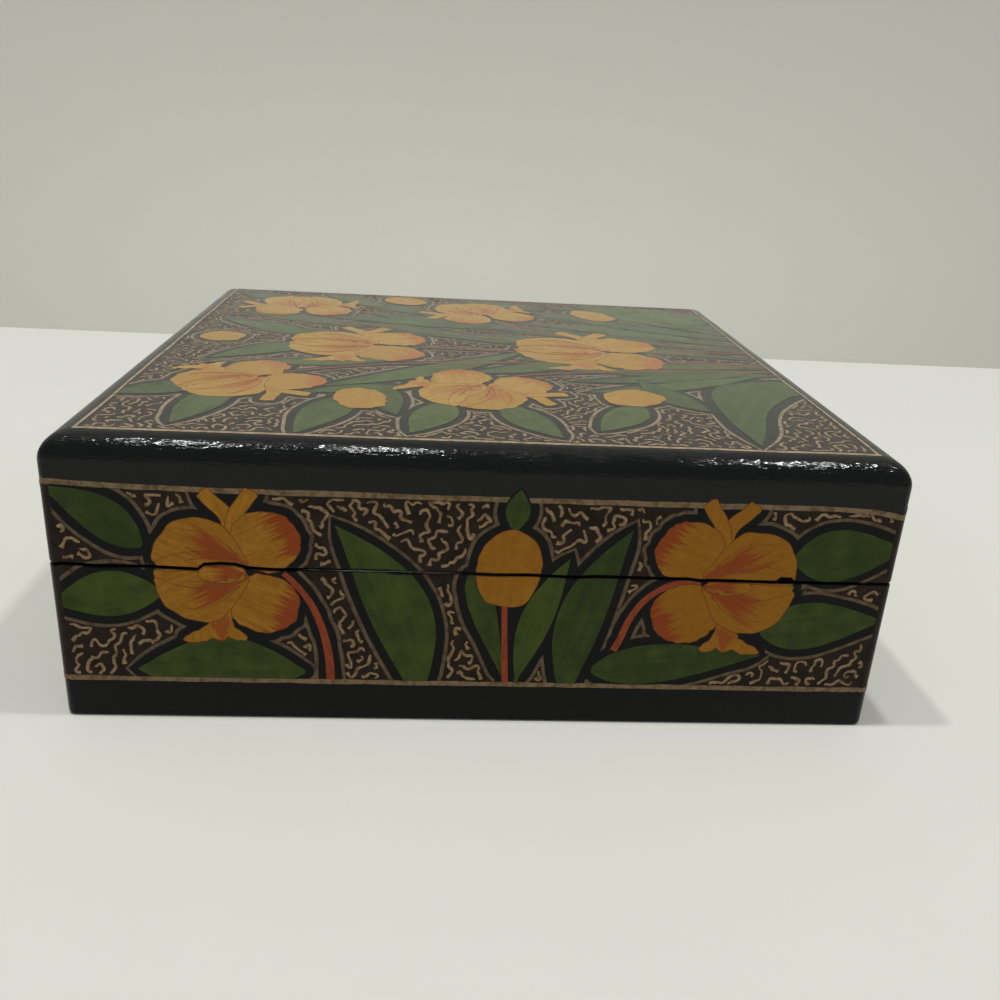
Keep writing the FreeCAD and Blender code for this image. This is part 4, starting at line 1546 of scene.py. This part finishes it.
class BOX_OT_gold_lines(bpy.types.Operator):
    """Draw the gold lines and the brown wash between them round the sides"""

    bl_idname = "papier_box.gold_lines"
    bl_label = "Gold lines and wash"

    def execute(self, context):
        paint = settings().paint
        finishes = paint_finishes("side")
        for body, line in (("base", paint.band_foot), ("lid", paint.band_head)):
            edge, way = seam_edge(body)
            low, high = sorted((line, edge + paint.bare_edge * way))
            wash = skin_strip(body, low, high, WASH_LIFT)
            new_piece(f"{body}_side_wash", wash, finishes["wash"], body, PAINT_DEPTH)
            strip = line_strip(body, line)
            new_piece(f"{body}_gold_line", strip, finishes["gold"], body, PAINT_DEPTH)
        return {"FINISHED"}


def dress(material, *endings):
    """Gives the CAD nodes whose names end this way a finish in place of their plain one."""
    for name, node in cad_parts.items():
        if name.endswith(endings):
            node.data.materials.clear()
            node.data.materials.append(material)


class BOX_OT_carcass(bpy.types.Operator):
    """Finish the boards and the brads that hold them"""

    bl_idname = "papier_box.carcass"
    bl_label = "Boards and brads"

    def execute(self, context):
        dress(board_lacquer(), "_wall", "_panel", "_board")
        dress(worn_metal("brad_steel", settings().colours.steel, RUST, 0.35), "_brads")
        return {"FINISHED"}


class BOX_OT_hinges(bpy.types.Operator):
    """Finish the brass hinges, their pins and their screws"""

    bl_idname = "papier_box.hinges"
    bl_label = "Brass hinges"

    def execute(self, context):
        brass = worn_metal("hinge_brass", settings().colours.brass, BRASS_TARNISH, 0.24)
        dress(brass, "_leaf", "_pin", "_hinge_screws")
        return {"FINISHED"}


# ---- stage

STAGE_REACH = 6.0
# How much darker the wall is painted away from the box: painted shade for light falling off.
WALL_PAINTED_SHADE = 0.3
SKY = (1.0, 0.995, 0.97, 1.0)
NEAREST_SEEN = 0.01
# Each lamp's place and size, and the share of the small lamps' power that each of them takes.
OVERHEAD_LAMP = ((0.0, -0.15, 1.5), 1.4)
GLINT_LAMPS = (
    ((-0.47, -0.08, 1.5), 0.06, 1.0), ((-0.10, -0.08, 1.5), 0.062, 1.0), ((0.69, -0.08, 1.5), 0.085, 1.1))


def stage_sheet(name, place, material):
    """A large flat sheet of the stage."""
    bm = bmesh.new()
    bmesh.ops.create_grid(bm, x_segments=1, y_segments=1, size=STAGE_REACH)
    sheet = new_object(name, moved(bm, place), material)
    return sheet


def matt_surface(name, tone, painted_shade=0.0, clear_behind=False):
    """A plain matt surface with the faintest mottling, painted darker away from the box by a share: a
    painted shade for light falling off.
    """
    finish = Finish(name)
    mottle = finish.patches("stage mottle")
    squashed = finish.stretched(finish.place(), (1.0, 0.0, 2.4), (0.0, 0.0, -0.1))
    away = finish.node("ShaderNodeVectorMath", {"operation": "LENGTH"}, {0: squashed}, output="Value")
    mottled = finish.mixed(mottle, tinted(tone, 0.97), tone)
    # Painted shade: the colour darkens away from the box.
    painted_fade = finish.mixed(away.step(-0.1, 0.42), mottled, tinted(tone, 1 - painted_shade))
    return finish.surface(clear_behind, Base_Color=painted_fade, Roughness=0.9, Specular_IOR_Level=0.1)


def area_lamp(name, place, size, watts):
    """A square lamp that faces the box."""
    light = bpy.data.lights.new(name, "AREA")
    light.shape = "SQUARE"
    light.size = size
    light.energy = watts
    lamp = bpy.data.objects.new(name, light)
    facing = (-Vector(place)).to_track_quat("-Z", "Y")
    lamp.matrix_world = Matrix.Translation(place) @ facing.to_matrix().to_4x4()
    bpy.context.scene.collection.objects.link(lamp)


class BOX_OT_stage(bpy.types.Operator):
    """Set up the floor, the wall, the lamps and the camera"""

    bl_idname = "papier_box.stage"
    bl_label = "Stage and camera"

    def execute(self, context):
        stage = settings().stage
        colours = settings().colours
        stage_sheet("floor", Matrix.Identity(4), matt_surface("floor_paint", colours.floor))
        wall_place = Matrix.Translation((0, stage.wall_distance, 0)) @ Matrix.Rotation(QUARTER, 4, "X")
        wall_paint = matt_surface("wall_paint", colours.backdrop, WALL_PAINTED_SHADE, clear_behind=True)
        wall = stage_sheet("wall", wall_place, wall_paint)
        wall.visible_diffuse = False
        wall.visible_shadow = False
        area_lamp("overhead_lamp", *OVERHEAD_LAMP, stage.overhead)
        for number, (place, size, share) in enumerate(GLINT_LAMPS):
            area_lamp(f"ceiling_lamp_{number}", place, size, stage.glint * share)
        world = bpy.data.worlds.new("soft_room")
        world.use_nodes = True
        sky = world.node_tree.nodes["Background"]
        sky.inputs["Color"].default_value = SKY
        sky.inputs["Strength"].default_value = stage.sky
        lens = bpy.data.cameras.new("camera")
        lens.lens = stage.camera_lens
        lens.clip_start = NEAREST_SEEN
        camera = bpy.data.objects.new("camera", lens)
        turn = Matrix.Rotation(stage.camera_turn, 4, "Z")
        dip = Matrix.Rotation(QUARTER - stage.camera_dip, 4, "X")
        roll = Matrix.Rotation(stage.camera_roll, 4, "Z")
        camera.matrix_world = Matrix.Translation(stage.camera_place) @ turn @ dip @ roll
        scene = context.scene
        scene.collection.objects.link(camera)
        scene.camera = camera
        scene.world = world
        scene.view_settings.view_transform = "Standard"
        return {"FINISHED"}


# ---- sidebar and registration

STEPS = (
    BOX_OT_skins, BOX_OT_gold_lines, BOX_OT_side_bands, BOX_OT_lid_bouquet, BOX_OT_carcass,
    BOX_OT_hinges, BOX_OT_stage)


class BOX_PT_sidebar(bpy.types.Panel):
    """Lists the steps that build the box"""

    bl_idname = "BOX_PT_sidebar"
    bl_label = "Papier mache box"
    bl_space_type = "VIEW_3D"
    bl_region_type = "UI"
    bl_category = "Papier Mache"

    def draw(self, context):
        for step in STEPS:
            self.layout.operator(step.bl_idname)


CLASSES = (SkinSettings, PaintSettings, ColourSettings, StageSettings, BoxSettings, *STEPS, BOX_PT_sidebar)


def register():
    """Makes the settings, the operators and the panel known."""
    for item in CLASSES:
        bpy.utils.register_class(item)
    bpy.types.Scene.papier_mache_box = PointerProperty(type=BoxSettings)


def unregister():
    """Takes them away again."""
    del bpy.types.Scene.papier_mache_box
    for item in reversed(CLASSES):
        bpy.utils.unregister_class(item)


def main():
    """Builds the whole box."""
    register()
    for step in STEPS:
        getattr(bpy.ops.papier_box, step.bl_idname.split(".")[1])()


if __name__ == "__main__":
    main()
